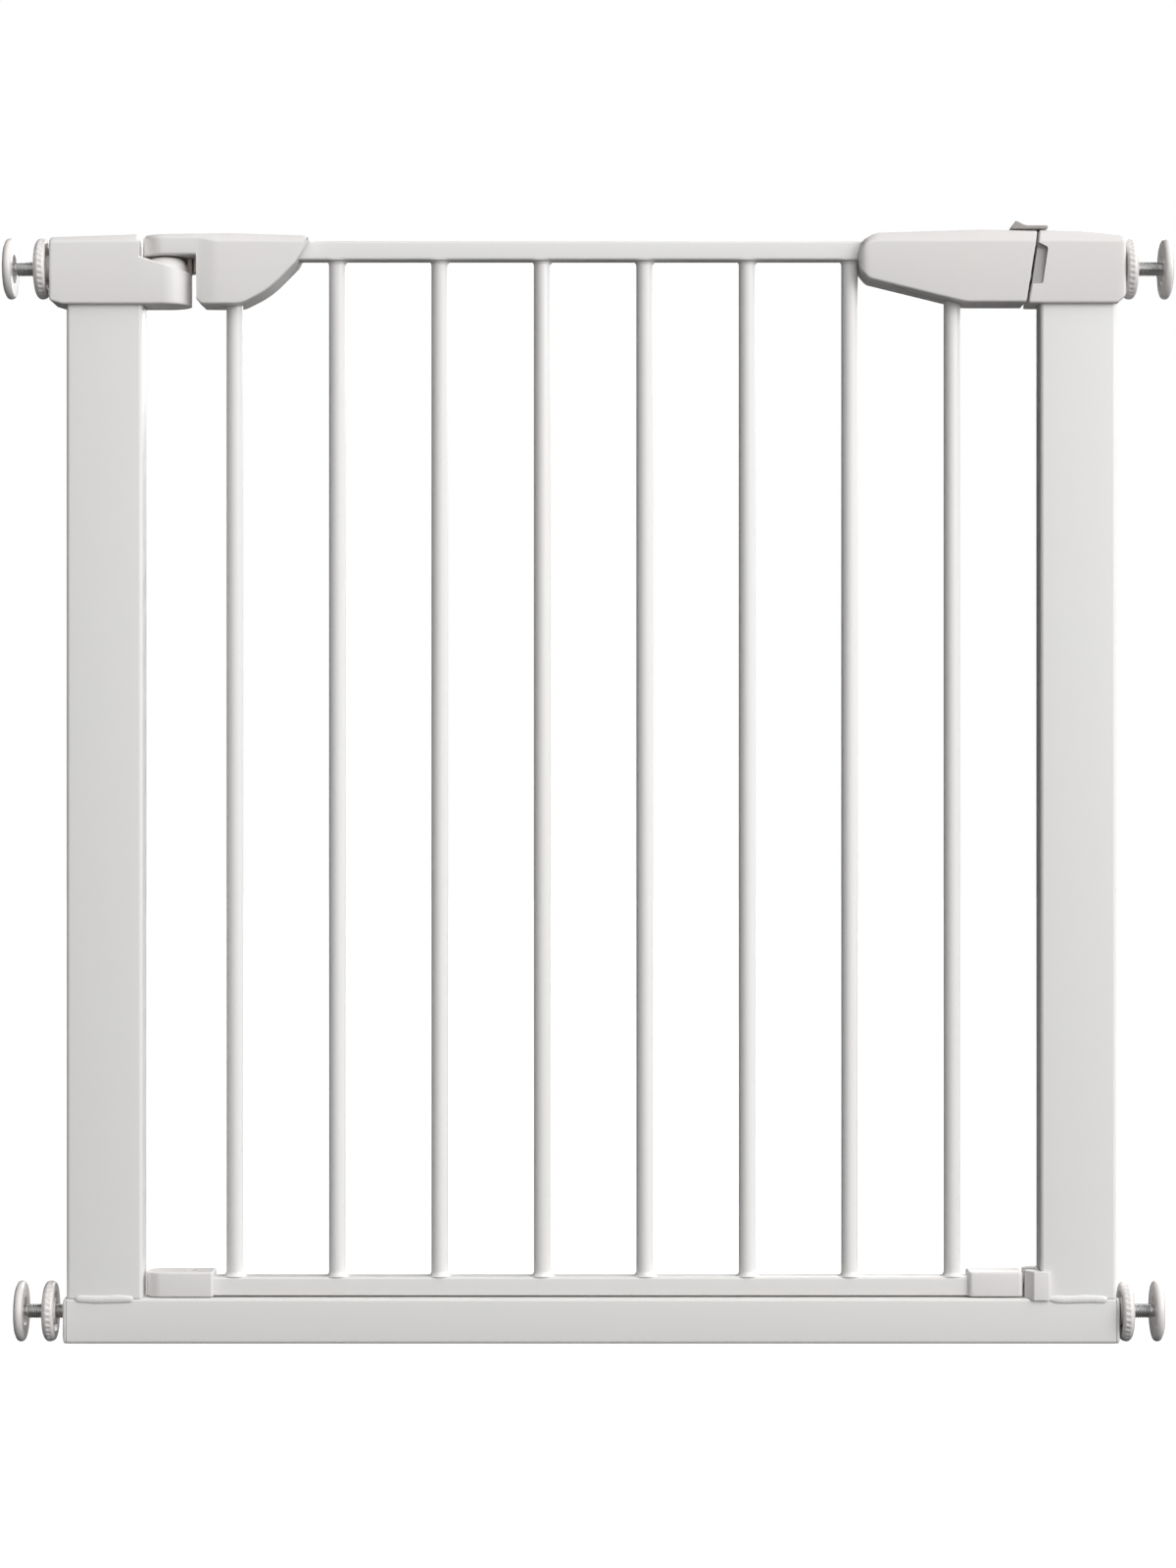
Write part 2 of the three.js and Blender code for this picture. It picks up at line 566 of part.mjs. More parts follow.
// Each spindle: side -1 is the left of the gate; face is the wall face, wheel the wheel's outer face.
const SPINDLES = [
  { name: 'top_left', side: -1, z: TOP_SPINDLE_Z, face: 385.3, wheel: 365.3, back: 354.4 },
  { name: 'top_right', side: 1, z: TOP_SPINDLE_Z, face: 385.3, wheel: 362.6, back: 354.2 },
  { name: 'bottom_left', side: -1, z: BOTTOM_SPINDLE_Z, face: 378, wheel: 359.8, back: 351.4 },
  { name: 'bottom_right', side: 1, z: BOTTOM_SPINDLE_Z, face: 379.6, wheel: 360, back: 351.4 },
];

function flutedOutline(radius, depth, flutes, z) {
  const points = 2 * flutes;
  return Array.from({ length: points }, (_, k) => {
    const angle = (2 * Math.PI * k) / points;
    const r = radius - depth * (0.5 - 0.5 * Math.cos(angle * flutes));
    return [r * Math.cos(angle), z + r * Math.sin(angle)];
  });
}

// Carries an outline or disc between two distances from the gate's middle, on the given side.
function outward(side, near, far, make) {
  return side > 0 ? make(near, far) : make(-far, -near);
}

function spindle({ name, side, z, face, wheel, back }) {
  const padBack = face - PAD_FACE_THICK - GAP - PAD_THICK;
  const disc = (near, far, radius, sides) => (
    outward(side, near, far, (a, b) => barX(radius, a, b, 0, z, sides))
  );
  add(`${name}_pad_face`, disc(face - PAD_FACE_THICK, face, PAD_RADIUS - 1.5, 24), RUBBER);
  const pad = disc(padBack, face - PAD_FACE_THICK - GAP, PAD_RADIUS, 24);
  const socket = disc(padBack - 1, padBack + 2, SPINDLE_RADIUS + GAP, 16);
  add(`${name}_wall_pad`, pad.subtract(socket), WHITE_PLASTIC);
  const rod = disc(padBack + 1.7 - SPINDLE_LENGTH, padBack + 1.7, SPINDLE_RADIUS, 16);
  add(`${name}_spindle`, rod, ZINC_STEEL);
  const rim = flutedOutline(WHEEL_RADIUS, 0.9, WHEEL_FLUTES, z);
  let nut = outward(side, wheel - WHEEL_THICK, wheel, (a, b) => prismX(rim, a, b));
  nut = nut.add(disc(Math.max(back + GAP, wheel - WHEEL_THICK - 2), wheel - 1, 9, 16));
  add(`${name}_hand_wheel`, nut.subtract(disc(wheel - 40, wheel + 10, SPINDLE_HOLE, 16)), WHITE_PLASTIC);
}

// ---------------------------------------------------------------- assembly

posts();
bottomBar();
endCap('left_end_cap', FRAME_LEFT, -1);
endCap('right_end_cap', FRAME_RIGHT, 1);
bottomCatch();
bushes();
hingePins();
frameHingeCasing();
latchCasing();
rails();
doorBars();
hingeStrap();
doorHingeCasing();
handleCasing();
hingeShoe();
hingeShoeScrew();
latchShoe();
thumbSlider();
lockBolt();
latchSpring();
SPINDLES.forEach(spindle);

export default gate;
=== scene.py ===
# %% [markdown]
# # A pressure-fit safety gate
# The gate is a welded steel frame with a barred door between its posts. Four threaded spindles clamp it in a
# doorway, and moulded casings cover the hinge and the latch. The structure, the sizes and the joints come from
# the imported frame. This lesson gives each part its finished surface: rounded mouldings, real screw threads,
# weld beads, and finishes that hold up close to the camera.

# %% Load the frame
import json
import math

import bmesh
import bpy
import numpy as np
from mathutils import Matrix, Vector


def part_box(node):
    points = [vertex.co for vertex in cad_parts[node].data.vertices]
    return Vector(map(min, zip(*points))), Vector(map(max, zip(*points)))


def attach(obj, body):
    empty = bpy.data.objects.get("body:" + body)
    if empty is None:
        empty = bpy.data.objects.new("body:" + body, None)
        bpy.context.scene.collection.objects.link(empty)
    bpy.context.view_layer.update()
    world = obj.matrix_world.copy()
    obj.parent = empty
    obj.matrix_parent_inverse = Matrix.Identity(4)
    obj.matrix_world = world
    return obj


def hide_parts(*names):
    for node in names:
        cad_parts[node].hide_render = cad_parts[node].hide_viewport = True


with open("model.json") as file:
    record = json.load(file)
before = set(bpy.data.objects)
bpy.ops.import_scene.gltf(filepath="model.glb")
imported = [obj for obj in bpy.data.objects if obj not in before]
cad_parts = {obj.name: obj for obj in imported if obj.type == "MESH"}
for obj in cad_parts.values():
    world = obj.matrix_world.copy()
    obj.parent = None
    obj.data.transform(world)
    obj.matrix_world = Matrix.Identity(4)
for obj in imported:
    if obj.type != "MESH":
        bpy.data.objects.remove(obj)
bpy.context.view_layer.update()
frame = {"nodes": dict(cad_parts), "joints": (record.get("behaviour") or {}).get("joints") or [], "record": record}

# %% [markdown]
# All positions are read from the frame's own boxes, so nothing has to be fitted afterwards. Only small
# sizes that a maker adds at the end, such as edge radii and clearances, are written down here, in metres. A
# cutter runs on past the surface that it opens, by the length THROUGH.

# %% Measures taken from the frame
MM = 0.001
THROUGH = 9 * MM
SEAM = 0.12 * MM
POST_GAP = 0.6 * MM
FIT = 0.35 * MM
PIN_BORE = 4.4 * MM
SPINDLE_BORE = 5.4 * MM


def span(node):
    """The node's extent along X, Y and Z, as three (low, high) pairs."""
    low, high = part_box(node)
    return tuple((float(low[i]), float(high[i])) for i in range(3))


def grown(pair, margin):
    """A (low, high) pair widened by the margin on both sides."""
    return pair[0] - margin, pair[1] + margin


def body_of(node_name):
    """The body that a node of the frame belongs to."""
    groups = frame["record"]["behaviour"]["bodies"]
    return next(body for body, members in groups.items() if node_name in members)


hinge = next(j for j in frame["joints"] if j["name"] == "door_swing")
HINGE_X = hinge["pos_m"][0]
SPINDLES = ("top_left", "top_right", "bottom_left", "bottom_right")
BAR_COUNT = sum(name.startswith("door_bar_") for name in frame["nodes"])
print("hinge axis at x =", HINGE_X, "and", BAR_COUNT, "bars")

# %% [markdown]
# Nearly every piece here is an outline carried along a line or turned about an axis. An outline is given by
# its corners and a radius for each, as on a drawing, and the arcs are worked out for the whole array at once.

# %% Outlines
def unit(vectors):
    """Each vector divided by its length."""
    return vectors / np.maximum(np.linalg.norm(vectors, axis=-1, keepdims=True), 1e-12)


def fillet(corners, radii, steps=5):
    """Each corner of a closed outline becomes an arc that touches both of its sides.

    The arc's centre lies on the corner's bisector, at radius / sin(half angle). The points between the
    two touching points are a spherical blend of the vectors from that centre."""
    corners = np.asarray(corners, float)
    radii = np.broadcast_to(np.asarray(radii, float), corners.shape[:-1])
    before, after = np.roll(corners, 1, axis=-2), np.roll(corners, -1, axis=-2)
    back, ahead = unit(before - corners), unit(after - corners)
    cosine = np.clip((back * ahead).sum(-1), -0.999999, 0.999999)
    half = np.arccos(cosine) / 2
    room = 0.495 * np.minimum(
        np.linalg.norm(before - corners, axis=-1), np.linalg.norm(after - corners, axis=-1)
    )
    reach = np.minimum(radii / np.tan(half), room)
    radius = reach * np.tan(half)
    middle = unit(back + ahead) * (radius / np.sin(half))[..., None]
    start, end = back * reach[..., None] - middle, ahead * reach[..., None] - middle
    turn = np.maximum(np.pi - 2 * half, 1e-6)[..., None, None]
    t = np.linspace(0, 1, steps + 1)[:, None]
    blend = np.sin((1 - t) * turn) * start[..., None, :] + np.sin(t * turn) * end[..., None, :]
    points = (corners + middle)[..., None, :] + blend / np.sin(turn)
    return points.reshape(*corners.shape[:-2], -1, 2)


def shrink(outline, distance):
    """Each point of a closed outline moves inwards along its mean normal by the distance."""
    ahead, back = np.roll(outline, -1, axis=0), np.roll(outline, 1, axis=0)
    area = np.sum(outline[:, 0] * ahead[:, 1] - outline[:, 1] * ahead[:, 0])
    tangent = unit(ahead - back) * np.sign(area)
    return outline + np.stack([-tangent[:, 1], tangent[:, 0]], axis=1) * distance


def rectangle(u, v, radius, steps=6):
    """A rounded rectangle between the pairs u and v."""
    corners = [(u[0], v[0]), (u[1], v[0]), (u[1], v[1]), (u[0], v[1])]
    return fillet(corners, radius, steps)


# %% [markdown]
# A surface is a grid of points: rows along the piece and columns around it. The columns always close on
# themselves. The rows close too on a ring, such as a wheel, and otherwise each end gets a cap. Rows that
# shrink to a line or a point are welded afterwards, and the enclosed volume tells which way is out.

# %% From a grid of points to a finished piece
def skin(rows, ring=False):
    """Points and faces of the closed surface through an array of rows, columns and coordinates."""
    count, around = rows.shape[:2]
    first = np.arange(count if ring else count - 1)[:, None]
    column = np.arange(around)[None, :]
    after, beside = (first + 1) % count, (column + 1) % around
    quads = np.stack(
        [first * around + column, first * around + beside, after * around + beside, after * around + column],
        axis=-1,
    ).reshape(-1, 4)
    faces = quads.tolist()
    if not ring:
        faces.append(list(range(around))[::-1])
        faces.append(list(range((count - 1) * around, count * around)))
    return rows.reshape(-1, 3), faces


def weld(part):
    """Merges points that coincide, and drops the faces and edges that shrink to nothing."""
    bmesh.ops.remove_doubles(part, verts=part.verts, dist=2e-6)
    bmesh.ops.dissolve_degenerate(part, edges=part.edges, dist=1e-7)
    loose = [edge for edge in part.edges if not edge.link_faces]
    bmesh.ops.delete(part, geom=loose, context="EDGES")


def new_object(name, data):
    """An object for the data, placed in the scene at the origin."""
    made = bpy.data.objects.new(name, data)
    bpy.context.scene.collection.objects.link(made)
    return made


def solid(name, surfaces):
    """One mesh object from closed surfaces, each welded and turned so that its faces look outwards."""
    mesh = bpy.data.meshes.new(name)
    joined = bmesh.new()
    for points, faces in surfaces:
        part = bmesh.new()
        corners = [part.verts.new(p) for p in points.tolist()]
        for face in faces:
            part.faces.new([corners[i] for i in face])
        weld(part)
        if part.calc_volume(signed=True) < 0:
            bmesh.ops.reverse_faces(part, faces=part.faces)
        part.to_mesh(mesh)
        part.free()
        joined.from_mesh(mesh)
    joined.to_mesh(mesh)
    joined.free()
    return new_object(name, mesh)


def carve(piece, cutters):
    """Cuts each closed surface out of the piece, exactly, and keeps the result as its mesh."""
    tools = [solid(f"{piece.name}_cut_{i}", [cutter]) for i, cutter in enumerate(cutters)]
    for tool in tools:
        cut = piece.modifiers.new("cut", "BOOLEAN")
        cut.object, cut.operation, cut.solver = tool, "DIFFERENCE", "EXACT"
    view = bpy.context.evaluated_depsgraph_get()
    mesh = bpy.data.meshes.new_from_object(piece.evaluated_get(view))
    piece.modifiers.clear()
    cleaned = bmesh.new()
    cleaned.from_mesh(mesh)
    weld(cleaned)
    cleaned.to_mesh(mesh)
    cleaned.free()
    piece.data = mesh
    for tool in tools:
        bpy.data.objects.remove(tool)


def unite(name, parts):
    """One piece from several finished ones, each keeping its own closed surface."""
    joined, mesh = bmesh.new(), bpy.data.meshes.new(name)
    for part in parts:
        joined.from_mesh(part.data)
        bpy.data.objects.remove(part)
    joined.to_mesh(mesh)
    joined.free()
    return new_object(name, mesh)


def check_closed(piece):
    """Counts the edges that do not join exactly two faces, and adds up the enclosed volume."""
    looked = bmesh.new()
    looked.from_mesh(piece.data)
    open_edges = sum(not edge.is_manifold for edge in looked.edges)
    volume = looked.calc_volume(signed=True)
    looked.free()
    return open_edges, volume


def place(piece, material, body, nodes=(), crease=32):
    """Smooths the piece except at its creases, gives it its finish and ties it to the frame."""
    piece.data.shade_smooth()
    piece.data.set_sharp_from_angle(angle=math.radians(crease))
    piece.data.materials.clear()
    piece.data.materials.append(material)
    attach(piece, body)
    if nodes:
        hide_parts(*nodes)
    open_edges, volume = check_closed(piece)
    note = f", {open_edges} OPEN EDGES" if open_edges else ""
    print(f"{piece.name}: {len(piece.data.polygons)} faces, {volume * 1e6:.2f} cm3 on {body}{note}")
    return piece


# %% [markdown]
# Three generators cover the whole gate. A bar carries an outline along an axis and rounds its ends over a
# small lip. A turned piece carries a half profile round an axis, and a wave may change its radius. A tube is
# the same as a bar, with a second, smaller outline coming back inside it.

# %% Generators
ORDER = {"X": (2, 0, 1), "Y": (0, 2, 1), "Z": (0, 1, 2)}


def along(axis, outline, places):
    """Rows of 3-D points: the outline repeated at each place along the axis."""
    u = np.broadcast_to(outline[..., 0], (len(places), outline.shape[-2]))
    v = np.broadcast_to(outline[..., 1], (len(places), outline.shape[-2]))
    w = np.broadcast_to(np.asarray(places, float)[:, None], u.shape)
    return np.stack([(u, v, w)[i] for i in ORDER[axis]], axis=-1)


def bar(axis, outline, ends, lip=0.4 * MM, steps=4):
    """The outline carried between the ends, with quarter-round lips: at angle a the outline is
    shrunk by lip (1 - sin a) and lies lip (1 - cos a) inside the end."""
    angle = np.linspace(0, np.pi / 2, steps)
    inside, tuck = lip * (1 - np.cos(angle)), lip * (1 - np.sin(angle))
    places = np.concatenate([ends[0] + inside, (ends[1] - inside)[::-1]])
    shrunk = np.stack([shrink(outline, t) for t in np.concatenate([tuck, tuck[::-1]])])
    return skin(along(axis, shrunk, places))


def tube(axis, outline, wall, ends, lip=0.25 * MM):
    """The wall of a hollow bar: out along the outer outline and back along the inner one."""
    low, high = ends
    tucks = [lip, 0, 0, lip, wall - lip, wall, wall, wall - lip]
    places = [low, low + lip, high - lip, high, high, high - lip, low + lip, low]
    shrunk = np.stack([shrink(outline, t) for t in tucks])
    return skin(along(axis, shrunk, places), ring=True)


def turned(axis, profile, centre, count=48, wave=None):
    """A closed profile of (radius, place) turned about the axis through the centre. The wave adds
    to the radius, and is given the profile's index and the angle."""
    profile = np.asarray(profile, float)
    angle = np.linspace(0, 2 * np.pi, count, endpoint=False)[:, None]
    index = np.arange(len(profile))[None, :]
    radius = profile[None, :, 0] + (wave(index, angle) if wave else 0)
    u, v = radius * np.cos(angle) + centre[0], radius * np.sin(angle) + centre[1]
    w = np.broadcast_to(profile[None, :, 1], u.shape)
    return skin(np.stack([(u, v, w)[i] for i in ORDER[axis]], axis=-1), ring=True)


def cylinder(axis, radius, centre, ends, count=40):
    """A plain round cutter."""
    return turned(axis, [(0, ends[0]), (radius, ends[0]), (radius, ends[1]), (0, ends[1])], centre, count)


def block(x, y, z):
    """A plain square cutter."""
    return skin(along("Z", np.array([(x[0], y[0]), (x[1], y[0]), (x[1], y[1]), (x[0], y[1])]), z))


# %% [markdown]
# ## Finishes
# The real gate has few finishes: powder coat on steel, satin mouldings, bright zinc and a little rubber. What
# makes them read as real is small: the orange peel of the coat, the spark-eroded grain of the mouldings, and a
# faint drift of colour and gloss over each surface. These effects are shared, so each is a node group. The
# groups put out values only, and each material keeps its own shader.

# %% Node helpers
def link(tree, source, target):
    """Joins an output socket to an input socket."""
    tree.links.new(source, target)


def node(tree, kind, **settings):
    """A new node with its settings and the values of its sockets."""
    made = tree.nodes.new(kind)
    for key, value in settings.items():
        if hasattr(made, key):
            setattr(made, key, value)
        else:
            made.inputs[key.replace("_", " ")].default_value = value
    return made


def group(name, inputs, outputs):
    """An empty shader group with named sockets, and its input and output nodes."""
    tree = bpy.data.node_groups.new(name, "ShaderNodeTree")
    for label, kind, default in inputs:
        socket = tree.interface.new_socket(name=label, in_out="INPUT", socket_type=kind)
        if default is not None:
            socket.default_value = default
    for label, kind in outputs:
        tree.interface.new_socket(name=label, in_out="OUTPUT", socket_type=kind)
    return tree, tree.nodes.new("NodeGroupInput"), tree.nodes.new("NodeGroupOutput")


def feed(tree, socket, value):
    """Gives an input a link from another socket, or else a fixed number or colour."""
    if isinstance(value, bpy.types.NodeSocket):
        link(tree, value, socket)
    else:
        socket.default_value = value


def object_place(tree):
    """The point of the surface in the object's own coordinates."""
    return node(tree, "ShaderNodeTexCoord").outputs["Object"]


def compute(tree, operation, *values, clamp=False):
    """The result of one sum on the values, each a socket or a number."""
    made = node(tree, "ShaderNodeMath", operation=operation, use_clamp=clamp)
    for socket, value in zip(made.inputs, values):
        feed(tree, socket, value)
    return made.outputs[0]


def noise(tree, vector, scale, detail=2.0, roughness=0.5):
    """Smooth noise at a number of waves per metre, read at the vector."""
    made = node(tree, "ShaderNodeTexNoise", Detail=detail, Roughness=roughness)
    link(tree, vector, made.inputs["Vector"])
    feed(tree, made.inputs["Scale"], scale)
    return made.outputs["Fac"]


def remap(tree, value, low, high, start=0.0, stop=1.0):
    """The value stretched from the range start..stop to low..high."""
    made = node(tree, "ShaderNodeMapRange")
    labels = ("Value", "From Min", "From Max", "To Min", "To Max")
    for label, number in zip(labels, (value, start, stop, low, high)):
        feed(tree, made.inputs[label], number)
    return made.outputs["Result"]


def mix(tree, factor, first, second):
    """Two colours mixed by a factor; each is a socket or a colour."""
    made = node(tree, "ShaderNodeMix", data_type="RGBA")
    link(tree, factor, made.inputs["Factor"])
    for label, colour in (("A", first), ("B", second)):
        feed(tree, next(s for s in made.inputs if s.name == label and s.type == "RGBA"), colour)
    return next(s for s in made.outputs if s.type == "RGBA")


# %% [markdown]
# **Surface texture.** Powder coat melts into a skin with soft dimples a millimetre or so apart, and a
# spark-eroded mould leaves a much finer grain. Both are two layers of noise, one coarse and one fine, so one
# group serves them, with the scale as an input. **Tone drift** varies the colour and the gloss slowly.
# **Settled dust** lies on faces that look up, thinly and in patches.

# %% Shared effects
FLOAT, COLOUR = "NodeSocketFloat", "NodeSocketColor"
FINER_BY, FINE_SHARE = 3.7, 0.33
DRIFT_WAVES, GLOSS_WAVES, DUST_WAVES = 14.0, 55.0, 120.0
DUST_COLOUR = (0.46, 0.44, 0.41, 1)


def surface_texture():
    """Height: coarse noise plus a third of fine noise at 3.7 times the scale."""
    tree, given, result = group("surface_texture", [("Scale", FLOAT, 900.0)], [("Height", FLOAT)])
    place_at, scale = object_place(tree), given.outputs["Scale"]
    coarse = noise(tree, place_at, scale, 1.5)
    fine = noise(tree, place_at, compute(tree, "MULTIPLY", scale, FINER_BY), 1.0)
    link(tree, compute(tree, "MULTIPLY_ADD", fine, FINE_SHARE, coarse), result.inputs["Height"])
    return tree


def tone_drift():
    """Colour: the base mixed a little towards the tint by slow noise. Roughness: the base plus or
    minus a spread, by another slow noise."""
    inputs = [
        ("Base", COLOUR, (0.8, 0.8, 0.8, 1)), ("Tint", COLOUR, (0.8, 0.75, 0.74, 1)),
        ("Amount", FLOAT, 0.3), ("Roughness", FLOAT, 0.4), ("Spread", FLOAT, 0.05),
    ]
    tree, given, result = group("tone_drift", inputs, [("Color", COLOUR), ("Roughness", FLOAT)])
    base, tint, amount, roughness, spread = (given.outputs[label] for label, _, _ in inputs)
    place_at = object_place(tree)
    slow = remap(tree, noise(tree, place_at, DRIFT_WAVES, 3.0), 0.0, amount, 0.35, 0.7)
    link(tree, mix(tree, slow, base, tint), result.inputs["Color"])
    low, high = (compute(tree, operation, roughness, spread) for operation in ("SUBTRACT", "ADD"))
    gloss = remap(tree, noise(tree, place_at, GLOSS_WAVES, 4.0), low, high, 0.3, 0.7)
    link(tree, gloss, result.inputs["Roughness"])
    return tree


def settled_dust():
    """Mask: how much a face looks up, to the fourth power, times patchy noise and the amount."""
    tree, given, result = group("settled_dust", [("Amount", FLOAT, 0.2)], [("Mask", FLOAT)])
    facing = node(tree, "ShaderNodeSeparateXYZ")
    link(tree, node(tree, "ShaderNodeNewGeometry").outputs["Normal"], facing.inputs[0])
    upward = compute(tree, "POWER", remap(tree, facing.outputs["Z"], 0.0, 1.0), 4.0, clamp=True)
    waves = noise(tree, object_place(tree), DUST_WAVES, 6.0, 0.65)
    patches = remap(tree, waves, 0.0, given.outputs["Amount"], 0.35, 0.65)
    link(tree, compute(tree, "MULTIPLY", upward, patches, clamp=True), result.inputs["Mask"])
    return tree


TEXTURE, DRIFT, DUST = surface_texture(), tone_drift(), settled_dust()
print("groups:", TEXTURE.name, DRIFT.name, DUST.name)

# %% [markdown]
# A coated or moulded finish is one recipe with different numbers: base colour and tint, gloss, and the scale
# and depth of the texture. Steel needs its own: zinc plate is metallic, with fine streaks along the turning
# direction that break up the reflection.

# %% Materials
TINT_AMOUNT, GLOSS_SPREAD, DUST_AMOUNT = 0.35, 0.05, 0.12
STREAK_DEPTH = 0.02 * MM


def new_material(name):
    """A material, its node tree and its shader."""
    material = bpy.data.materials.new(name)
    material.use_nodes = True
    return material, material.node_tree, material.node_tree.nodes["Principled BSDF"]


def shared(tree, effect, **values):
    """A shared effect placed in a material's tree, with the values of its inputs."""
    made = tree.nodes.new("ShaderNodeGroup")
    made.node_tree = effect
    for label, value in values.items():
        made.inputs[label].default_value = value
    return made


def relief(tree, shader, height, strength, depth):
    """Tilts the shader's normal by a height map of the given depth."""
    bump = node(tree, "ShaderNodeBump", Strength=strength, Distance=depth)
    link(tree, height, bump.inputs["Height"])
    link(tree, bump.outputs["Normal"], shader.inputs["Normal"])


def satin(name, base, tint, roughness, scale, depth):
    """A dielectric finish: drifting colour under thin dust, drifting gloss and a textured skin."""
    material, tree, shader = new_material(name)
    drift = shared(tree, DRIFT, Base=(*base, 1), Tint=(*tint, 1), Amount=TINT_AMOUNT,
                   Roughness=roughness, Spread=GLOSS_SPREAD)
    powder = shared(tree, DUST, Amount=DUST_AMOUNT)
    colour = mix(tree, powder.outputs["Mask"], drift.outputs["Color"], DUST_COLOUR)
    link(tree, colour, shader.inputs["Base Color"])
    link(tree, drift.outputs["Roughness"], shader.inputs["Roughness"])
    relief(tree, shader, shared(tree, TEXTURE, Scale=scale).outputs["Height"], 1.0, depth)
    return material


def steel(name, base, tint, roughness, streak):
    """A metallic finish with streaks along the given direction: noise read in squeezed coordinates."""
    material, tree, shader = new_material(name)
    shader.inputs["Metallic"].default_value = 1.0
    drift = shared(tree, DRIFT, Base=(*base, 1), Tint=(*tint, 1), Amount=0.6)
    squeeze = node(tree, "ShaderNodeMapping", Scale=streak)
    link(tree, object_place(tree), squeeze.inputs["Vector"])
    streaks = noise(tree, squeeze.outputs["Vector"], 1.0, 4.0, 0.6)
    link(tree, drift.outputs["Color"], shader.inputs["Base Color"])
    gloss = remap(tree, streaks, roughness - 0.1, roughness + 0.12, 0.3, 0.7)
    link(tree, gloss, shader.inputs["Roughness"])
    relief(tree, shader, streaks, 0.6, STREAK_DEPTH)
    return material


POWDER = satin("powder_coat", (0.80, 0.795, 0.78), (0.83, 0.79, 0.775), 0.33, 650.0, 0.028 * MM)
MOULDED = satin("white_moulding", (0.80, 0.775, 0.765), (0.79, 0.785, 0.77), 0.42, 2600.0, 0.012 * MM)
LATCH_WHITE = satin("latch_moulding", (0.725, 0.70, 0.69), (0.71, 0.702, 0.692), 0.42, 2600.0, 0.012 * MM)
WHEEL_WHITE = satin("wheel_moulding", (0.79, 0.765, 0.75), (0.76, 0.72, 0.70), 0.30, 2200.0, 0.01 * MM)
SLIDER_GREY = satin("slider_moulding", (0.35, 0.325, 0.305), (0.32, 0.30, 0.285), 0.4, 2600.0, 0.014 * MM)
# The skirt's taupe is partly the warm-grey plastic's own colour and partly painted shade of the narrow gap round
# the hinge seat.
SKIRT_TAUPE_AND_SHADE = satin("skirt_taupe_and_painted_shade", (0.60, 0.53, 0.495), (0.56, 0.50, 0.465), 0.5, 2600.0, 0.014 * MM)
STRIKE_GREY = satin("strike_moulding", (0.36, 0.352, 0.343), (0.33, 0.322, 0.313), 0.5, 2400.0, 0.014 * MM)
BUSH_WHITE = satin("bush_moulding", (0.68, 0.66, 0.60), (0.62, 0.60, 0.54), 0.35, 2000.0, 0.006 * MM)
SOFT_RUBBER = satin("soft_rubber", (0.55, 0.54, 0.52), (0.50, 0.49, 0.47), 0.75, 1400.0, 0.03 * MM)
ZINC = steel("zinc_plate", (0.60, 0.605, 0.61), (0.58, 0.575, 0.55), 0.3, (300.0, 4000.0, 4000.0))
PIN_STEEL = steel("turned_steel", (0.46, 0.46, 0.465), (0.42, 0.42, 0.42), 0.32, (2500.0, 2500.0, 300.0))
print("materials:", [m.name for m in bpy.data.materials])

# %% [markdown]
# ## The frame tubes
# The posts and the bottom bar are rectangular tube with small corner radii, cut square. The bar is open at its
# ends, where plug caps go in. A tube surface keeps the wall, so that the ends are honest if a cap comes off.

# %% Posts and bottom bar
TUBE_CORNER = 2.6 * MM
TUBE_WALL = 1.2 * MM
JOINT_CLEARANCE = 0.3 * MM
bar_x, bar_y, bar_z = span("bottom_bar")
for side in ("left", "right"):
    x, y, z = span(f"{side}_post")
    outline = rectangle(x, y, TUBE_CORNER, 8)
    surface = tube("Z", outline, TUBE_WALL, (z[0] - JOINT_CLEARANCE, z[1]))
    place(solid(f"{side}_post_tube", [surface]), POWDER, "frame", [f"{side}_post"])
bar_outline = rectangle(bar_y, bar_z, 2.2 * MM, 8)
bottom_bar = solid("bottom_bar_tube", [tube("X", bar_outline, TUBE_WALL, bar_x)])
place(bottom_bar, POWDER, "frame", ["bottom_bar"])

# %% [markdown]
# Each post is welded to the bar along its front and its back. A bead is a long capsule, flattened against the
# tube, whose thickness ripples where the welder's puddle froze in steps.

# %% Weld beads
BEAD_LENGTH, BEAD_HALF, BEAD_PROUD = 38.6 * MM, 2.7 * MM, 1.6 * MM
BEAD_SUNK, BEAD_DROP, BEAD_WANDER = 0.2 * MM, 0.9 * MM, 0.2 * MM


def weld_bead(x, y, z, facing, seed):
    """Half width along the bead is the square root of 1 - t**10, so the ends are blunt, and two
    faint sine waves of different lengths make the ripples. Facing is -1 for the front face."""
    t = np.linspace(-1, 1, 90)[:, None]
    angle = np.linspace(0, 2 * np.pi, 28, endpoint=False)[None, :]
    ripple = 1 + 0.015 * np.sin(31 * t + seed) + 0.03 * np.sin(9 * t + 2 * seed)
    fat = (1 - np.abs(t) ** 10) ** 0.5 * ripple
    wander = BEAD_WANDER * np.sin(4.5 * t + seed) - BEAD_DROP
    across = z + wander + BEAD_HALF * fat * np.sin(angle)
    out = y + facing * (BEAD_PROUD * fat * np.cos(angle) - BEAD_SUNK)
    length = x + t * BEAD_LENGTH / 2 + 0 * angle
    return skin(np.stack([length, out, across], axis=-1))


beads = []
for index, side in enumerate(("left", "right")):
    x, y, z = span(f"{side}_post")
    middle = sum(x) / 2
    for facing, face in ((-1, y[0]), (1, y[1])):
        beads.append(weld_bead(middle, face, z[0], facing, 1.3 * index + facing))
place(solid("post_weld_beads", beads), POWDER, "frame", crease=60)

# %% [markdown]
# ## End caps
# A cap is a shallow crowned plug. The tube's outline moves outwards while it scales down along a quarter of an
# ellipse, which gives the crown, and a round cut makes the guide hole of the spindle.

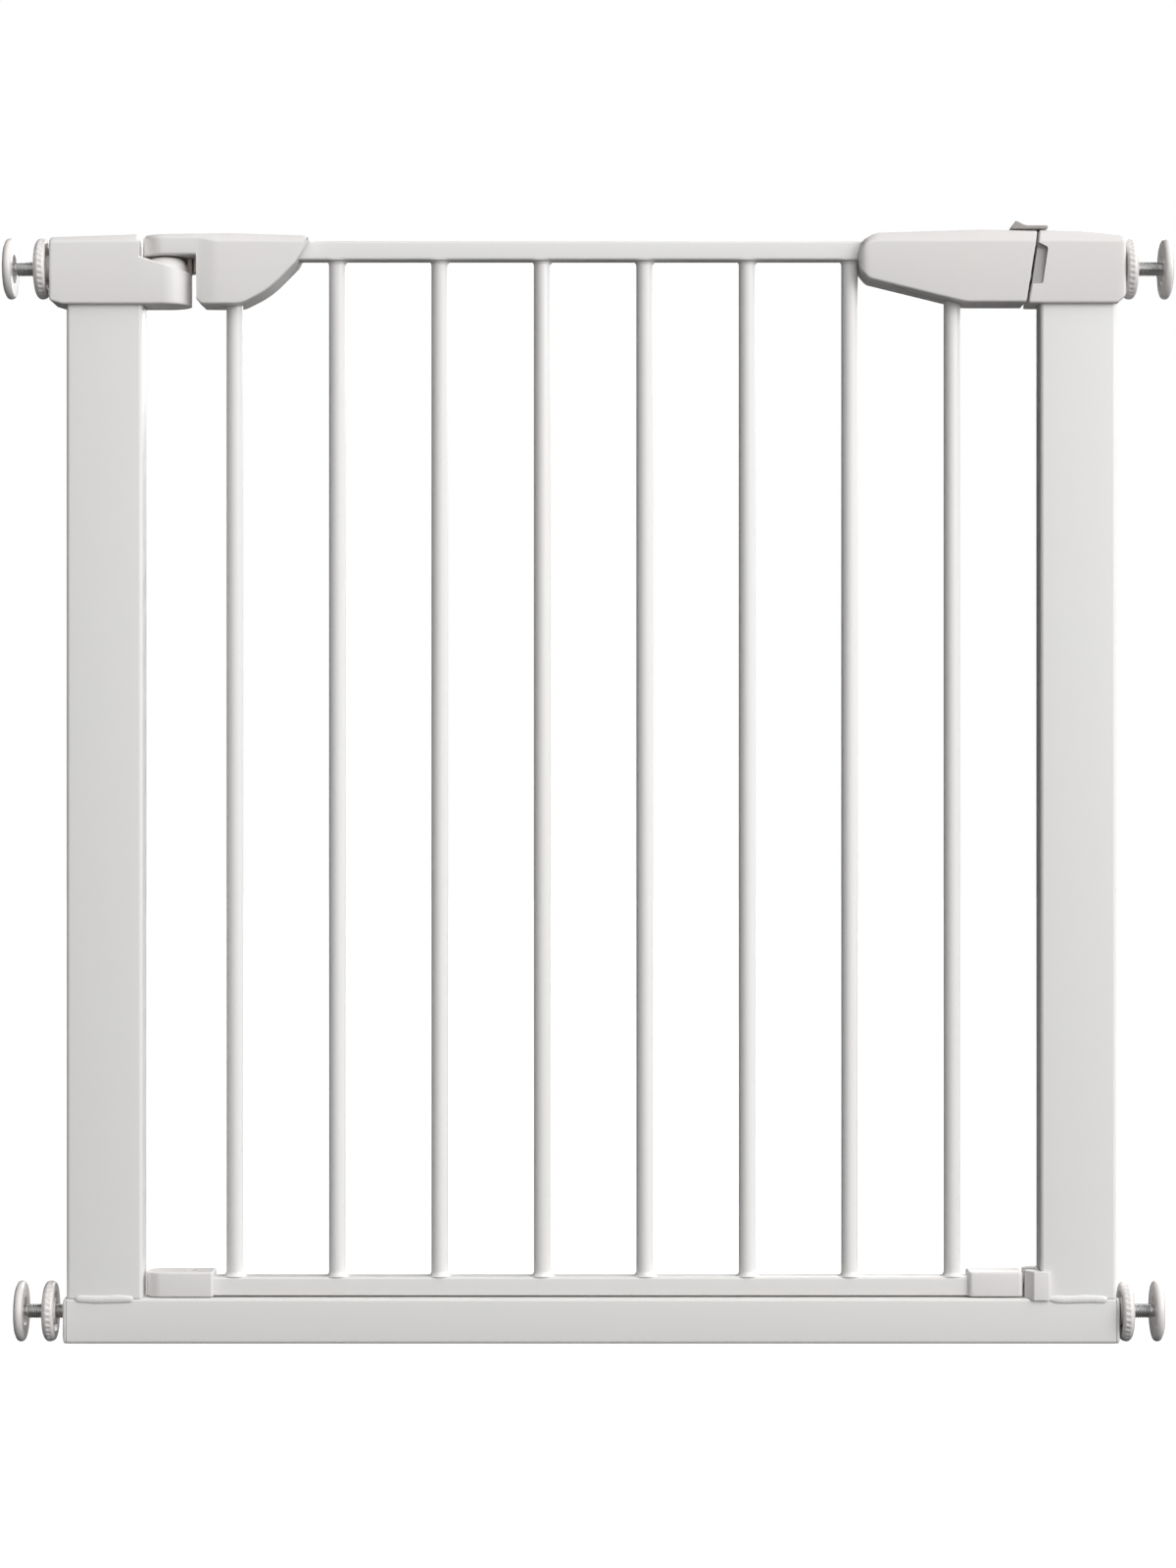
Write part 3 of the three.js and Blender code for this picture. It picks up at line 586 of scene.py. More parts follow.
# %% End caps of the bottom bar
CAP_CROWN = 2.9 * MM
CAP_RISE = 0.9 * MM
CAP_NARROWING = 0.36
CAP_BORE = 5.3 * MM
for side, sign in (("left", -1), ("right", 1)):
    x = span(f"{side}_end_cap")[0]
    end, plug_end = (bar_x[0], x[1]) if sign < 0 else (bar_x[1], x[0])
    outline = rectangle(bar_y, bar_z, 2.4 * MM, 8)
    angle = np.linspace(0, np.pi / 2, 9)[:8]
    scales = np.array([0.98, 1.0, *(1 - CAP_NARROWING + CAP_NARROWING * np.cos(angle))])[:, None, None]
    places = [0.3 * MM, 0.6 * MM, *(CAP_RISE + (CAP_CROWN - CAP_RISE) * np.sin(angle))]
    heart = outline.mean(axis=0)
    crown = skin(along("X", heart + (outline - heart) * scales, end + sign * np.array(places)))
    inner = shrink(outline, TUBE_WALL + 0.3 * MM)
    plug = tube("X", inner, 2 * MM, sorted((plug_end, end + sign * 0.6 * MM)))
    spindle_z = sum(span(f"bottom_{side}_spindle")[2]) / 2
    hole = cylinder("X", CAP_BORE, (0, spindle_z), sorted((end - sign * 30 * MM, end + sign * THROUGH)))
    parts = [solid(f"{side}_cap_crown", [crown]), solid(f"{side}_cap_plug", [plug])]
    carve(parts[0], [hole])
    place(unite(f"{side}_cap", parts), MOULDED, "frame", [f"{side}_end_cap"])

# %% [markdown]
# ## The moulded casings
# The four casings share one form: an upright, slightly crowned box with a steep bevel along its top edge. It is
# a half section, front or rear, carried along X, while its base, its top and its depth follow curves. Two
# halves meet in a fine seam. Slanted end faces come from shearing the stations near the end, and rounded ends
# from letting the depth follow a circle.

# %% One casing half
CASING_EDGE = 1.5 * MM
BEVEL_IN = 5 * MM
CROWN_DROP = 0.7 * MM
WELL_GAP = 0.3 * MM


def curve(points, radii, steps=8):
    """An open outline with rounded inner corners, as x and z arrays for interpolation."""
    points = np.asarray(points, float)
    closed = np.vstack([points, [[points[-1, 0], points[0, 1] - 1], [points[0, 0], points[0, 1] - 1]]])
    arcs = fillet(closed, [0, *radii, 0, 0, 0], steps).reshape(len(closed), steps + 1, 2)
    line = arcs[: len(points)].reshape(-1, 2)
    return line[:, 0], line[:, 1]


def rise(places, marks, level, rises, radii, steps=8):
    """Height at each place along X of an outline whose corners lie at the marks. The rises over the
    level and the corner radii are in millimetres."""
    points = np.stack([marks, level + np.array(rises) * MM], axis=1)
    return np.interp(places, *curve(points, np.array(radii) * MM, steps))


def stations(start, stop, lip, extra=(), pitch=1.2 * MM):
    """Places along X, close together at the two rounded ends, and the tuck of the section at each:
    at a distance d inside a lip of radius r, the tuck is r - sqrt(r**2 - (r - d)**2)."""
    low, high = lip
    close = 1 - np.cos(np.linspace(0, np.pi / 2, 6))
    middle = np.arange(start + low + pitch, stop - high - pitch / 2, pitch)
    places = np.concatenate([start + low * close, middle, stop - high * close, extra])
    places = np.unique(np.round(places, 7))
    tuck = np.zeros_like(places)
    for radius, inside in ((low, places - start), (high, stop - places)):
        left = np.clip(radius - inside, 0, radius)
        tuck = np.maximum(tuck, radius - np.sqrt(radius**2 - left**2))
    return places, tuck


def casing_half(x, tuck, base, top, depth, bevel_z, facing, shear=None, bevel_in=BEVEL_IN):
    """The half section runs from the seam along the base, round the lower edge, up the face, over
    the bevel and the crown, and back down the seam. All arrays have one value per station."""
    middle, room = (base + top) / 2, np.maximum((top - base) / 2 - tuck, 0.3 * MM)
    low, high = middle - room, middle + room
    half = np.maximum(depth - tuck, SEAM + 0.05 * MM)
    inwards = np.minimum(np.broadcast_to(bevel_in, x.shape), 0.45 * half)
    knee = np.maximum(half - inwards, SEAM + 0.02 * MM)
    bevel = np.minimum(np.maximum(bevel_z, low + 0.2 * MM), high - 0.35 * MM)
    seam = np.full_like(x, SEAM)
    shoulder = np.maximum(high - np.minimum(CROWN_DROP, (high - bevel) / 3), bevel + 0.1 * MM)
    corners = np.stack([
        np.stack([seam, low], -1), np.stack([half, low], -1), np.stack([half, bevel], -1),
        np.stack([knee, shoulder], -1), np.stack([seam, high], -1),
    ], axis=1)
    radii = [0.35 * MM, CASING_EDGE, 3 * MM, 4 * MM, 0.35 * MM]
    section = fillet(corners, radii, 5)
    slope = 0 if shear is None else shear[:, None]
    places = x[:, None] + slope * (section[..., 1] - middle[:, None])
    return skin(np.stack([places, facing * section[..., 0], section[..., 1]], axis=-1))


def ring_sector(radii, bearings, ends):
    """A bent slab about the hinge axis, between two radii, two bearings in degrees and two heights."""
    arc = np.radians(np.linspace(bearings[0], bearings[1], 24))
    circle = np.stack([np.cos(arc), np.sin(arc)], axis=-1)
    plan = np.concatenate([circle * radii[1], circle[::-1] * radii[0]]) + (HINGE_X, 0)
    return skin(along("Z", plan, ends))


def post_room(side, casing_base):
    """Room for the top of a post inside its casing."""
    x, y, z = span(f"{side}_post")
    return block(grown(x, POST_GAP), grown(y, POST_GAP), (casing_base - THROUGH, z[1]))


def bar_room(index):
    """Clearance for a door bar that goes up into a casing."""
    spread, _, height = span(f"door_bar_{index}")
    return cylinder("Z", 5.9 * MM, (sum(spread) / 2, 0), (height[1] - 60 * MM, height[1] + 1 * MM))


def casing_pair(name, shape, cuts, rear_cuts=(), finish=MOULDED):
    """Front and rear halves of a casing, with the cuts that both share and the rear's screw wells."""
    for half, facing in (("front", -1), ("rear", 1)):
        piece = solid(f"{name}_{half}_shell", [casing_half(facing=facing, **shape)])
        wells = list(rear_cuts) if facing > 0 else []
        if facing > 0:
            for i in (1, 2):
                x, y, z = span(f"{name}_screw_{i}")
                radius, centre = (x[1] - x[0]) / 2 + WELL_GAP, (sum(x) / 2, sum(z) / 2)
                wells.append(cylinder("Y", radius, centre, (y[1] - 2.2 * MM, y[1] + THROUGH)))
        carve(piece, [*cuts, *wells])
        place(piece, finish, body_of(f"{name}_{half}"), [f"{name}_{half}"])


# %% [markdown]
# **The hinge casing on the left post** is a block with a lower step on its inner side, where the door's arm
# lies. The step slopes down to a round nose about the hinge axis, and a domed seat rises from it. The post goes
# up into the casing with a small gap all round, which shows as the dark line under it.

# %% Hinge casing on the left post
CASING_BEVEL_Z = 725.5 * MM
ARM_BASE = 717.1 * MM
x, y, z = span("hinge_casing_front")
half_depth = -y[0]
nose = x[1] - HINGE_X
block_x = HINGE_X - 16.8 * MM
angle = np.linspace(0, np.pi / 2, 26)
step_places = block_x + np.array([-0.6, 0, 0.2]) * MM
straight, tuck = stations(x[0], HINGE_X - 0.4 * MM, (1.6 * MM, 0), step_places)
places = np.concatenate([straight, HINGE_X + nose * np.sin(angle)])
tuck = np.concatenate([tuck, 0 * angle])
base = rise(places, [x[0], x[0] + 8 * MM, x[1]], z[0], [2.4, 0, 0], [1])
top = rise(places, [x[0], block_x, block_x + 0.2 * MM, block_x + 4 * MM, x[1] - 4 * MM, x[1]], z[1],
           [-1.9, 0, -14.8, -16.2, -24.2, -25.2], [1.6, 1.2, 3, 4])
depth = np.where(places > HINGE_X, np.sqrt(np.maximum(nose**2 - (places - HINGE_X) ** 2, 0)), half_depth)
on_step = places > block_x
bevel_z = np.where(on_step, top - 1.2 * MM, CASING_BEVEL_Z)
bevel_in = np.where(on_step, 0.8 * MM, BEVEL_IN)
shape = dict(x=places, tuck=tuck, base=base, top=top, depth=depth, bevel_z=bevel_z, bevel_in=bevel_in)
spindle_z = sum(span("top_left_spindle")[2]) / 2
spindle_hole = cylinder("X", SPINDLE_BORE, (0, spindle_z), (x[0] - THROUGH, x[0] + 48 * MM))
pin_hole = cylinder("Z", PIN_BORE, (HINGE_X, 0), (z[0] + 1.5 * MM, z[1] + THROUGH))
skirt_room = ring_sector((17.3 * MM, 22.8 * MM), (75, 137), (ARM_BASE - 10.5 * MM, z[1] + THROUGH))
casing_pair("hinge_casing", shape, [post_room("left", z[0]), spindle_hole, pin_hole], [skirt_room])

# %% [markdown]
# The domed seat under the door's arm is turned about the hinge axis. It is moulded in one with the casing, so
# it takes the same finish and rides on the same body.

# %% Domed hinge seat
seat_base, seat_top = ARM_BASE - 14.5 * MM, ARM_BASE - 0.9 * MM
angle = np.linspace(0, np.pi / 2, 14)
seat_radius, seat_flat, seat_drop = 14.3 * MM, 8.2 * MM, 9.2 * MM
seat = [(PIN_BORE, seat_base), (seat_radius, seat_base)]
seat += [(seat_flat + (seat_radius - seat_flat) * math.cos(a),
          seat_top - seat_drop * (1 - math.sin(a))) for a in angle]
seat += [(PIN_BORE, seat_top)]
place(solid("hinge_seat", [turned("Z", seat, (HINGE_X, 0), 64)]), MOULDED, "frame")

# %% [markdown]
# **The latch casing on the right post** leans at its inner end, to clear the door as it lifts. A pocket is cut
# into its front corner for the grey strike.

# %% Latch casing on the right post
x, y, z = span("latch_casing_front")
SLOPE = 0.16
lean = SLOPE * (z[1] - z[0]) / 2
latch_start = x[0] - 1 * MM
places, tuck = stations(latch_start + lean, x[1], (0.9 * MM, 2.6 * MM))
base = rise(places, [x[0], x[1] - 6.2 * MM, x[1]], z[0], [0, 0, 5], [1])
top = rise(places, [x[0], x[0] + 38 * MM, x[1]], z[1], [-0.2, -1.2, -4], [260], 24)
fade = np.clip(1 - (places - places[0]) / (26 * MM), 0, 1)
depth = np.full_like(places, -y[0])
shape = dict(x=places, tuck=tuck, base=base, top=top, depth=depth,
             bevel_z=np.full_like(places, CASING_BEVEL_Z), shear=SLOPE * fade)
spindle_hole = cylinder("X", SPINDLE_BORE, (0, spindle_z), (x[1] - 48 * MM, x[1] + THROUGH))
strike_x, strike_y, strike_z = span("strike_insert")
pocket_low, pocket_high = strike_z[0] - 0.3 * MM, strike_z[1] + 0.3 * MM
pocket_right = strike_x[1] + 0.5 * MM
pocket_corners = [
    (x[0] - THROUGH, pocket_low), (pocket_right - 3.6 * MM, pocket_low), (pocket_right, pocket_high - 3 * MM),
    (pocket_right - 6.3 * MM, pocket_high), (x[0] - THROUGH, pocket_high)]
pocket_outline = fillet(pocket_corners, [0, 2 * MM, 2.2 * MM, 1.2 * MM, 0], 6)
pocket = bar("Y", pocket_outline, (y[0] - THROUGH, strike_y[1] + 0.3 * MM), 0)
cuts = [post_room("right", z[0]), spindle_hole, pocket]
casing_pair("latch_casing", shape, cuts, finish=LATCH_WHITE)

# %% [markdown]
# The strike is a grey block that fills the pocket a little below the surface, with the bolt's socket cut into
# the face that meets the door.

# %% Strike
def leaning(height):
    """The latch casing's slanted inner face, as an x for a height, with the strike a little inside it."""
    return latch_start + SLOPE * (height - z[0])


strike_outline = shrink(fillet([
    (leaning(pocket_low), pocket_low), (pocket_right - 3.6 * MM, pocket_low),
    (pocket_right, pocket_high - 3 * MM), (leaning(pocket_high), pocket_high)],
    [0.6 * MM, 2 * MM, 2.2 * MM, 0.6 * MM], 6), 0.15 * MM)
strike = solid("strike_block", [bar("Y", strike_outline, (y[0] + 0.4 * MM, strike_y[1]), 0.1 * MM)])
face = [(-18, 30), (-18, 0), (-15.4, -0.6), (-13.4, -3.4), (-13.9, -9), (-15.2, -20), (-16, -30), (-18, -32)]
face_cut = np.array(face) * MM + (0, pocket_high)
dish = bar("X", face_cut, (x[0] - 20 * MM, x[1]), 0)
bolt_x, bolt_y, bolt_z = span("lock_bolt")
socket = block((x[0] - 20 * MM, strike_x[1] - 3.4 * MM), (-5 * MM, 5 * MM),
               (bolt_z[0] - 0.5 * MM, bolt_z[0] + 17.5 * MM))
carve(strike, [dish, socket])
place(strike, STRIKE_GREY, "frame", ["strike_insert"])

# %% [markdown]
# **The handle casing** leans as the latch casing does, so the gap between them is even. Its far end is a round
# bow that the hand grips. Cuts inside it make room for the top rail, the slider's lug, the bolt and two bars.

# %% Handle casing
x, y, z = span("handle_casing_front")
lean = SLOPE * (z[1] - z[0]) / 2
bow_places = x[0] + np.array([0.4, 0.8, 1.7]) * MM
places, tuck = stations(x[0], x[1] + 0.6 * MM - lean, (2.2 * MM, 0.5 * MM), bow_places)
base = rise(places, [x[0], x[0] + 1.2 * MM, x[0] + 7 * MM, x[0] + 70 * MM, x[1]], z[0],
            [32, 22, 15.5, 0, 0], [6, 6, 30])
top = rise(places, [x[0], x[0] + 3 * MM, x[0] + 12 * MM, x[0] + 82 * MM, x[1]], z[1],
           [34 - (z[1] - z[0]) / MM, -7.5, -2.6, -0.4, -1.4], [8, 10, 90])
fade = np.clip((places - places[-1]) / (30 * MM) + 1, 0, 1)
depth = -y[0] - 2.5 * MM * np.exp(-(((places - x[0]) / (3 * MM)) ** 2))
bevel_z = np.minimum(CASING_BEVEL_Z, top - 4.5 * MM)
shape = dict(x=places, tuck=tuck, base=base, top=top, depth=depth, bevel_z=bevel_z, shear=SLOPE * fade)
rail_x, rail_y, rail_z = span("top_rail")
rail_room = block((x[0] - THROUGH, rail_x[1]), grown(rail_y, FIT), grown(rail_z, FIT))
slot_x = (span("thumb_slider")[0][0] - 0.6 * MM, bolt_x[1] - 10.4 * MM)
slot_room = block(slot_x, (-3 * MM, 3 * MM), grown((z[1], z[1]), THROUGH))
bolt_room = block((bolt_x[1] - 20 * MM, bolt_x[1] + THROUGH), (bolt_y[0] - FIT, -bolt_y[0] + FIT),
                  (bolt_z[0] - FIT, bolt_z[0] + 5.4 * MM))
drain = block((x[0] + 24 * MM, x[0] + 31 * MM), (-11 * MM, -7 * MM), (z[0] - THROUGH, z[0] + 13 * MM))
cuts = [rail_room, slot_room, bolt_room, drain, bar_room(BAR_COUNT), bar_room(BAR_COUNT - 1)]
casing_pair("handle_casing", shape, cuts, finish=LATCH_WHITE)

# %% [markdown]
# **The door's hinge casing** reaches over the domed seat with an arm whose end is round about the hinge axis.
# It steps down beside the seat, and swells to its full depth with a soft S in plan.

# %% Hinge casing of the door
x, y, z = span("door_hinge_casing_front")
arm_half = HINGE_X - x[0]
body_x = HINGE_X + 21.4 * MM
full_x = body_x + 14.2 * MM
angle = np.linspace(0, np.pi / 2, 22)
steps = body_x + np.array([-0.2, 0, 0.8, 2.2, 3.4]) * MM
straight, tuck = stations(HINGE_X + 0.4 * MM, x[1], (0, 0.4 * MM), steps)
places = np.concatenate([HINGE_X - arm_half * np.cos(angle), straight])
tuck = np.concatenate([0 * angle, tuck])
arm_rise = (ARM_BASE - z[0]) / MM
base = rise(places, [x[0], body_x - 0.2 * MM, body_x, body_x + 3.6 * MM, x[0] + 66 * MM, x[0] + 84 * MM,
                     x[1] - 8.8 * MM, x[1]], z[0],
            [arm_rise, arm_rise, 3.4, 0, 0, 9.1, 27.2, 43], [0, 0, 0.6, 16, 60, 6], 24)
top = rise(places, [x[0], x[0] + 2.5 * MM, x[0] + 60 * MM, x[1] - 3 * MM, x[1]], z[1],
           [-3.4, -1, -0.2, -1.8, -3.4], [2, 120, 1.5])
ease = np.clip((places - (body_x - 1 * MM)) / (full_x - body_x + 1 * MM), 0, 1)
swell = arm_half + (-y[0] - arm_half) * ease**2 * (3 - 2 * ease)
round_end = np.sqrt(np.maximum(arm_half**2 - (places - HINGE_X) ** 2, 0))
depth = np.where(places < HINGE_X, round_end, swell)
bevel_z = np.minimum(CASING_BEVEL_Z + 3.2 * MM * (1 - ease), top - 2.2 * MM)
bevel_in = 3.4 * MM + 1.6 * MM * ease
shape = dict(x=places, tuck=tuck, base=base, top=top, depth=depth, bevel_z=bevel_z, bevel_in=bevel_in)
rail_room = block((rail_x[0] - 1 * MM, x[1] + THROUGH), grown(rail_y, FIT), grown(rail_z, FIT))
strap_x, strap_y, strap_z = span("upper_hinge_strap")
strap_room = block((strap_x[0] - FIT, rail_x[0]), grown(strap_y, FIT), grown(strap_z, FIT))
pin_hole = cylinder("Z", PIN_BORE, (HINGE_X, 0), (ARM_BASE - 9 * MM, strap_z[1] + 3 * MM))
casing_pair("door_hinge_casing", shape, [rail_room, strap_room, pin_hole, bar_room(1)])

# %% [markdown]
# Behind the domed seat the door's casing has a curved skirt, which hides the joint from a child's fingers. It
# is a bent slab: a short arc about the hinge axis with an even wall. It and the seat's rear wall take a dark
# taupe, partly their plastic's own warm grey and partly painted shade of the gap under the arm.

# %% Skirt behind the hinge seat
# The taupe of both pieces is partly painted shade of the hinge gap.
skirt_ends = (ARM_BASE - 9.5 * MM, ARM_BASE + 0.8 * MM)
skirt = solid("hinge_skirt", [ring_sector((18.1 * MM, 22 * MM), (1, 45), skirt_ends)])
place(skirt, SKIRT_TAUPE_AND_SHADE, "door")
wall_ends = (ARM_BASE - 16 * MM, ARM_BASE - 0.35 * MM)
rear_wall = solid("hinge_seat_wall", [ring_sector((14 * MM, 16.7 * MM), (12, 132), wall_ends)])
place(rear_wall, SKIRT_TAUPE_AND_SHADE, "frame")

# %% [markdown]
# ## The door
# Two flat rails and eight round bars are welded into one panel. The rails are thin rectangular tube.

# %% Rails
RAIL_CORNER = 1.6 * MM
for name in ("top_rail", "bottom_rail"):
    x, y, z = span(name)
    surface = tube("X", rectangle(y, z, RAIL_CORNER, 6), TUBE_WALL, x)
    place(solid(f"{name}_tube", [surface]), POWDER, "door", [name])

# %% [markdown]
# The ends of each bar flow into the rails through a small fillet of weld metal, so a bar is one turned profile
# that flares at both ends.

# %% Bars with their welded ends
FILLET = 3.2 * MM
UNEVEN = 0.22 * MM


def welded_bar(x, ends, radius, seed):
    """The flare is a quarter circle: radius + F (1 - cos a) at a height of F (1 - sin a) from the
    rail. A wave round the bar makes the weld uneven, and dies out away from the rail."""
    angle = np.linspace(np.pi / 2, 0, 9)
    flare, height = radius + FILLET * (1 - np.cos(angle)), FILLET * (1 - np.sin(angle))
    low = list(zip(flare, ends[0] + height))
    high = list(zip(flare, ends[1] - height))[::-1]
    profile = np.array([(0, ends[0]), *low, *high, (0, ends[1])])
    weight = np.clip(1 - np.minimum(profile[:, 1] - ends[0], ends[1] - profile[:, 1]) / FILLET, 0, 1)
    weight[[0, -1]] = 0

    def uneven(index, bearing):
        lumps = np.sin(2 * bearing + seed) + 0.6 * np.sin(3 * bearing + 2.1 * seed)
        return UNEVEN * weight[index] * (lumps - 0.4)

    return turned("Z", profile, (x, 0), 32, uneven)


for index in range(1, BAR_COUNT + 1):
    x, y, z = span(f"door_bar_{index}")
    ends = (z[0] - JOINT_CLEARANCE, z[1] + JOINT_CLEARANCE)
    piece = solid(f"door_bar_{index}_welded", [welded_bar(sum(x) / 2, ends, y[1], 1.7 * index)])
    place(piece, POWDER, "door", [f"door_bar_{index}"], 45)

# %% [markdown]
# ## Shoes and catch
# The bottom rail ends in two moulded shoes. The left one turns on the lower pin, so its outer end is round. The
# right one carries the tongue, which drops into the forked catch at the foot of the post. All three are
# outlines in plan, raised to their height with a soft lip.

# %% Hinge shoe, latch shoe and catch
x, y, z = span("hinge_shoe")
plan = rectangle(x, y, np.array([10.9, 2, 2, 10.9]) * MM, 14)
shoe = solid("hinge_shoe_moulding", [bar("Z", plan, (z[0], z[1] + 0.5 * MM), 1.3 * MM, 7)])
foot_x, foot_y, foot_z = span("bottom_rail")
rail_slot = block((foot_x[0] - FIT, x[1] + THROUGH), grown(foot_y, FIT), (z[0] - THROUGH, foot_z[1] + FIT))
screw_x, _, screw_z = span("hinge_shoe_screw")
well = cylinder("Z", (screw_x[1] - screw_x[0]) / 2 + WELL_GAP, (sum(screw_x) / 2, 0),
                (screw_z[1] - 1.7 * MM, z[1] + THROUGH))
pin_hole = cylinder("Z", PIN_BORE, (HINGE_X, 0), (z[0] - THROUGH, z[1] - 3.5 * MM))
carve(shoe, [rail_slot, well, pin_hole])
place(shoe, MOULDED, "door", ["hinge_shoe"])

x, y, z = span("latch_shoe")
tongue_start = x[1] - 9 * MM
plan = rectangle((x[0], tongue_start), y, 3 * MM, 8)
shoe = solid("latch_shoe_body", [bar("Z", plan, (z[0], z[1] + 1.1 * MM), 1.3 * MM, 7)])
tongue_outline = rectangle((-3 * MM, 3 * MM), (z[0] + 7.2 * MM, z[0] + 12.2 * MM), 1 * MM)
tongue = solid("latch_tongue", [bar("X", tongue_outline, (tongue_start - 1.2 * MM, x[1]))])
rail_slot = block((x[0] - THROUGH, foot_x[1] + FIT), grown(foot_y, FIT), (z[0] - THROUGH, foot_z[1] + FIT))
carve(shoe, [rail_slot])
shoe = unite("latch_shoe_moulding", [shoe, tongue])
place(shoe, MOULDED, "door", ["latch_shoe"])

x, y, z = span("bottom_catch")
post_x, post_y, _ = span("right_post")
tight = 0.2 * MM
plan = fillet([(x[0], y[0] + 6.2 * MM), (x[0] + 5.4 * MM, y[0]), (x[1], y[0]), (x[1], y[1]),
               (x[0] + 5.4 * MM, y[1]), (x[0], y[1] - 6.2 * MM)], 1.2 * MM, 6)
catch = solid("bottom_catch_moulding", [bar("Z", plan, (z[0] - 1.6 * MM, z[1]), 0.8 * MM, 6)])
carve(catch, [
    block((post_x[0] - tight, x[1] + THROUGH), grown(post_y, tight), grown(z, THROUGH)),
    block((x[0] - THROUGH, post_x[0] - 1.6 * MM), (-4 * MM, 4 * MM), (z[0] + 4.7 * MM, z[1] + THROUGH)),
    block(grown(x, THROUGH), grown(bar_y, tight), (z[0] - THROUGH, z[0])),
])
place(catch, MOULDED, "frame", ["bottom_catch"])

# %% [markdown]
# ## Latch
# The thumb slider is one side outline, a ramp up to a ridge and a long flat tab, carried across the gate with
# soft edges. Under it a lug goes down to the bolt. The bolt and the spring stay as the frame has them.

# %% Thumb slider
x, y, z = span("thumb_slider")
base_z = z[1] - 5.3 * MM
outline = fillet([
    (x[0], base_z), (x[1], base_z), (x[1], z[1] - 2.9 * MM), (x[0] + 10.3 * MM, z[1] - 2.9 * MM),
    (x[0] + 5.2 * MM, z[1] - 0.3 * MM), (x[0] + 3.6 * MM, z[1])],
    [0.7 * MM, 1.2 * MM, 1.2 * MM, 9 * MM, 1.5 * MM, 0.9 * MM], 9)
lug = block((bolt_x[1] - 13 * MM, bolt_x[1] - 10.8 * MM), (-2.5 * MM, 2.5 * MM), (z[0], base_z + 0.4 * MM))
slider = solid("thumb_slider_moulding", [bar("Y", outline, y, 0.6 * MM, 7), lug])
place(slider, SLIDER_GREY, "latch", ["thumb_slider"])

# %% [markdown]
# ## Clamping spindles
# Each spindle is a real M10 screw, 1.5 mm to the turn. A thread is a surface of two parameters: its radius
# depends only on how far the point lies from the helix, so place / pitch - angle / full turn picks the height
# on the tooth.

# %% Threaded spindles
PITCH = 1.5 * MM
THREAD_DEPTH = 0.92 * MM
CREST_RADIUS, NECK_RADIUS, NECK_LENGTH = 4.88 * MM, 4 * MM, 3.4 * MM
CREST = 0.16


def thread(centre_z, ends, neck_side):
    """Radius = crest radius - depth x tooth, where tooth is 0 on the flat crest and 1 at the root,
    a straight-sided wave of place / pitch - angle / turn. The tooth fades out at both ends."""
    rows = int(round((ends[1] - ends[0]) / PITCH * 10))
    place_x = np.linspace(ends[0], ends[1], rows)[:, None]
    angle = np.linspace(0, 2 * np.pi, 36, endpoint=False)[None, :]
    phase = (place_x / PITCH - angle / (2 * np.pi)) % 1.0
    tooth = np.clip((np.minimum(phase, 1 - phase) * 2 - CREST) / (1 - 2 * CREST), 0, 1)
    to_end = np.minimum(place_x - ends[0], ends[1] - place_x)
    taper = np.clip(to_end / (1.2 * MM), 0, 1)
    from_neck = place_x - ends[0] if neck_side < 0 else ends[1] - place_x
    neck = 1 - from_neck / NECK_LENGTH > 0.02
    radius = CREST_RADIUS - THREAD_DEPTH * tooth
    radius = np.where(neck, NECK_RADIUS, radius) - 0.7 * MM * (1 - taper) * ~neck
    y, z = radius * np.cos(angle), centre_z + radius * np.sin(angle)
    return skin(np.stack([place_x + 0 * angle, y, z], axis=-1))


for name in SPINDLES:
    x, y, z = span(f"{name}_spindle")
    side = -1 if name.endswith("left") else 1
    piece = solid(f"{name}_threaded_rod", [thread(sum(z) / 2, x, side)])
    place(piece, ZINC, f"{name}_spindle", [f"{name}_spindle"], 25)

# %% [markdown]
# A wall pad is a dished disc, turned about the spindle, with a soft rubber face held inside its rim.

# %% Wall pads
RIM = 2.2 * MM
RUBBER_HOLE = 17.2 * MM


def pad_profile(radius, plate, back, lip):
    """The pad's closed half profile: a plate with a lip that holds the rubber, a fat round rim, and a
    flat back that falls into a well round the spindle. Plate, back and lip are places along X."""
    angle = np.linspace(-np.pi / 2, np.pi / 2, 16)
    rim = np.stack([radius - RIM + RIM * np.cos(angle), (lip + back) / 2 + (back - lip) / 2 * np.sin(angle)], 1)
    face = back - (back - plate) * 0.06
    well = back - (back - plate) * 0.6
    return [(0, plate), (RUBBER_HOLE, plate), (RUBBER_HOLE, lip), *rim.tolist(),
            (9.6 * MM, face), (8.4 * MM, well), (0, well)]


for name in SPINDLES:
    x, y, z = span(f"{name}_wall_pad")
    side = -1 if name.endswith("left") else 1
    plate, back = (x[0], x[1]) if side < 0 else (x[1], x[0])
    radius, centre = y[1], (0, sum(z) / 2)
    x, y, z = span(f"{name}_pad_face")
    lip = (x[0] if side < 0 else x[1]) - side * 0.7 * MM
    profile = pad_profile(radius, plate, back, lip)
    pad = solid(f"{name}_pad_disc", [turned("X", profile, centre, 96)])
    place(pad, WHEEL_WHITE, f"{name}_spindle", [f"{name}_wall_pad"], 40)
    reach = RUBBER_HOLE - 0.1 * MM
    disc = rectangle((-reach, reach), (-reach, reach), reach, 20) + centre
    rubber = solid(f"{name}_pad_rubber", [bar("X", disc, x, 0.7 * MM)])
    place(rubber, SOFT_RUBBER, f"{name}_spindle", [f"{name}_pad_face"], 40)

# %% [markdown]
# A hand wheel is a turned ring whose rim carries rounded flutes. It is the nut of its spindle, so it has a hub.

# %% Hand wheels
FLUTES = 32
FLUTE_DEPTH = 0.65 * MM
RIM_STEPS = 25
RIM_WIDTH = 8 * MM
WHEEL_BORE = 5.35 * MM
OUTER_SHOULDER, INNER_SHOULDER = 6 * MM, 2.6 * MM


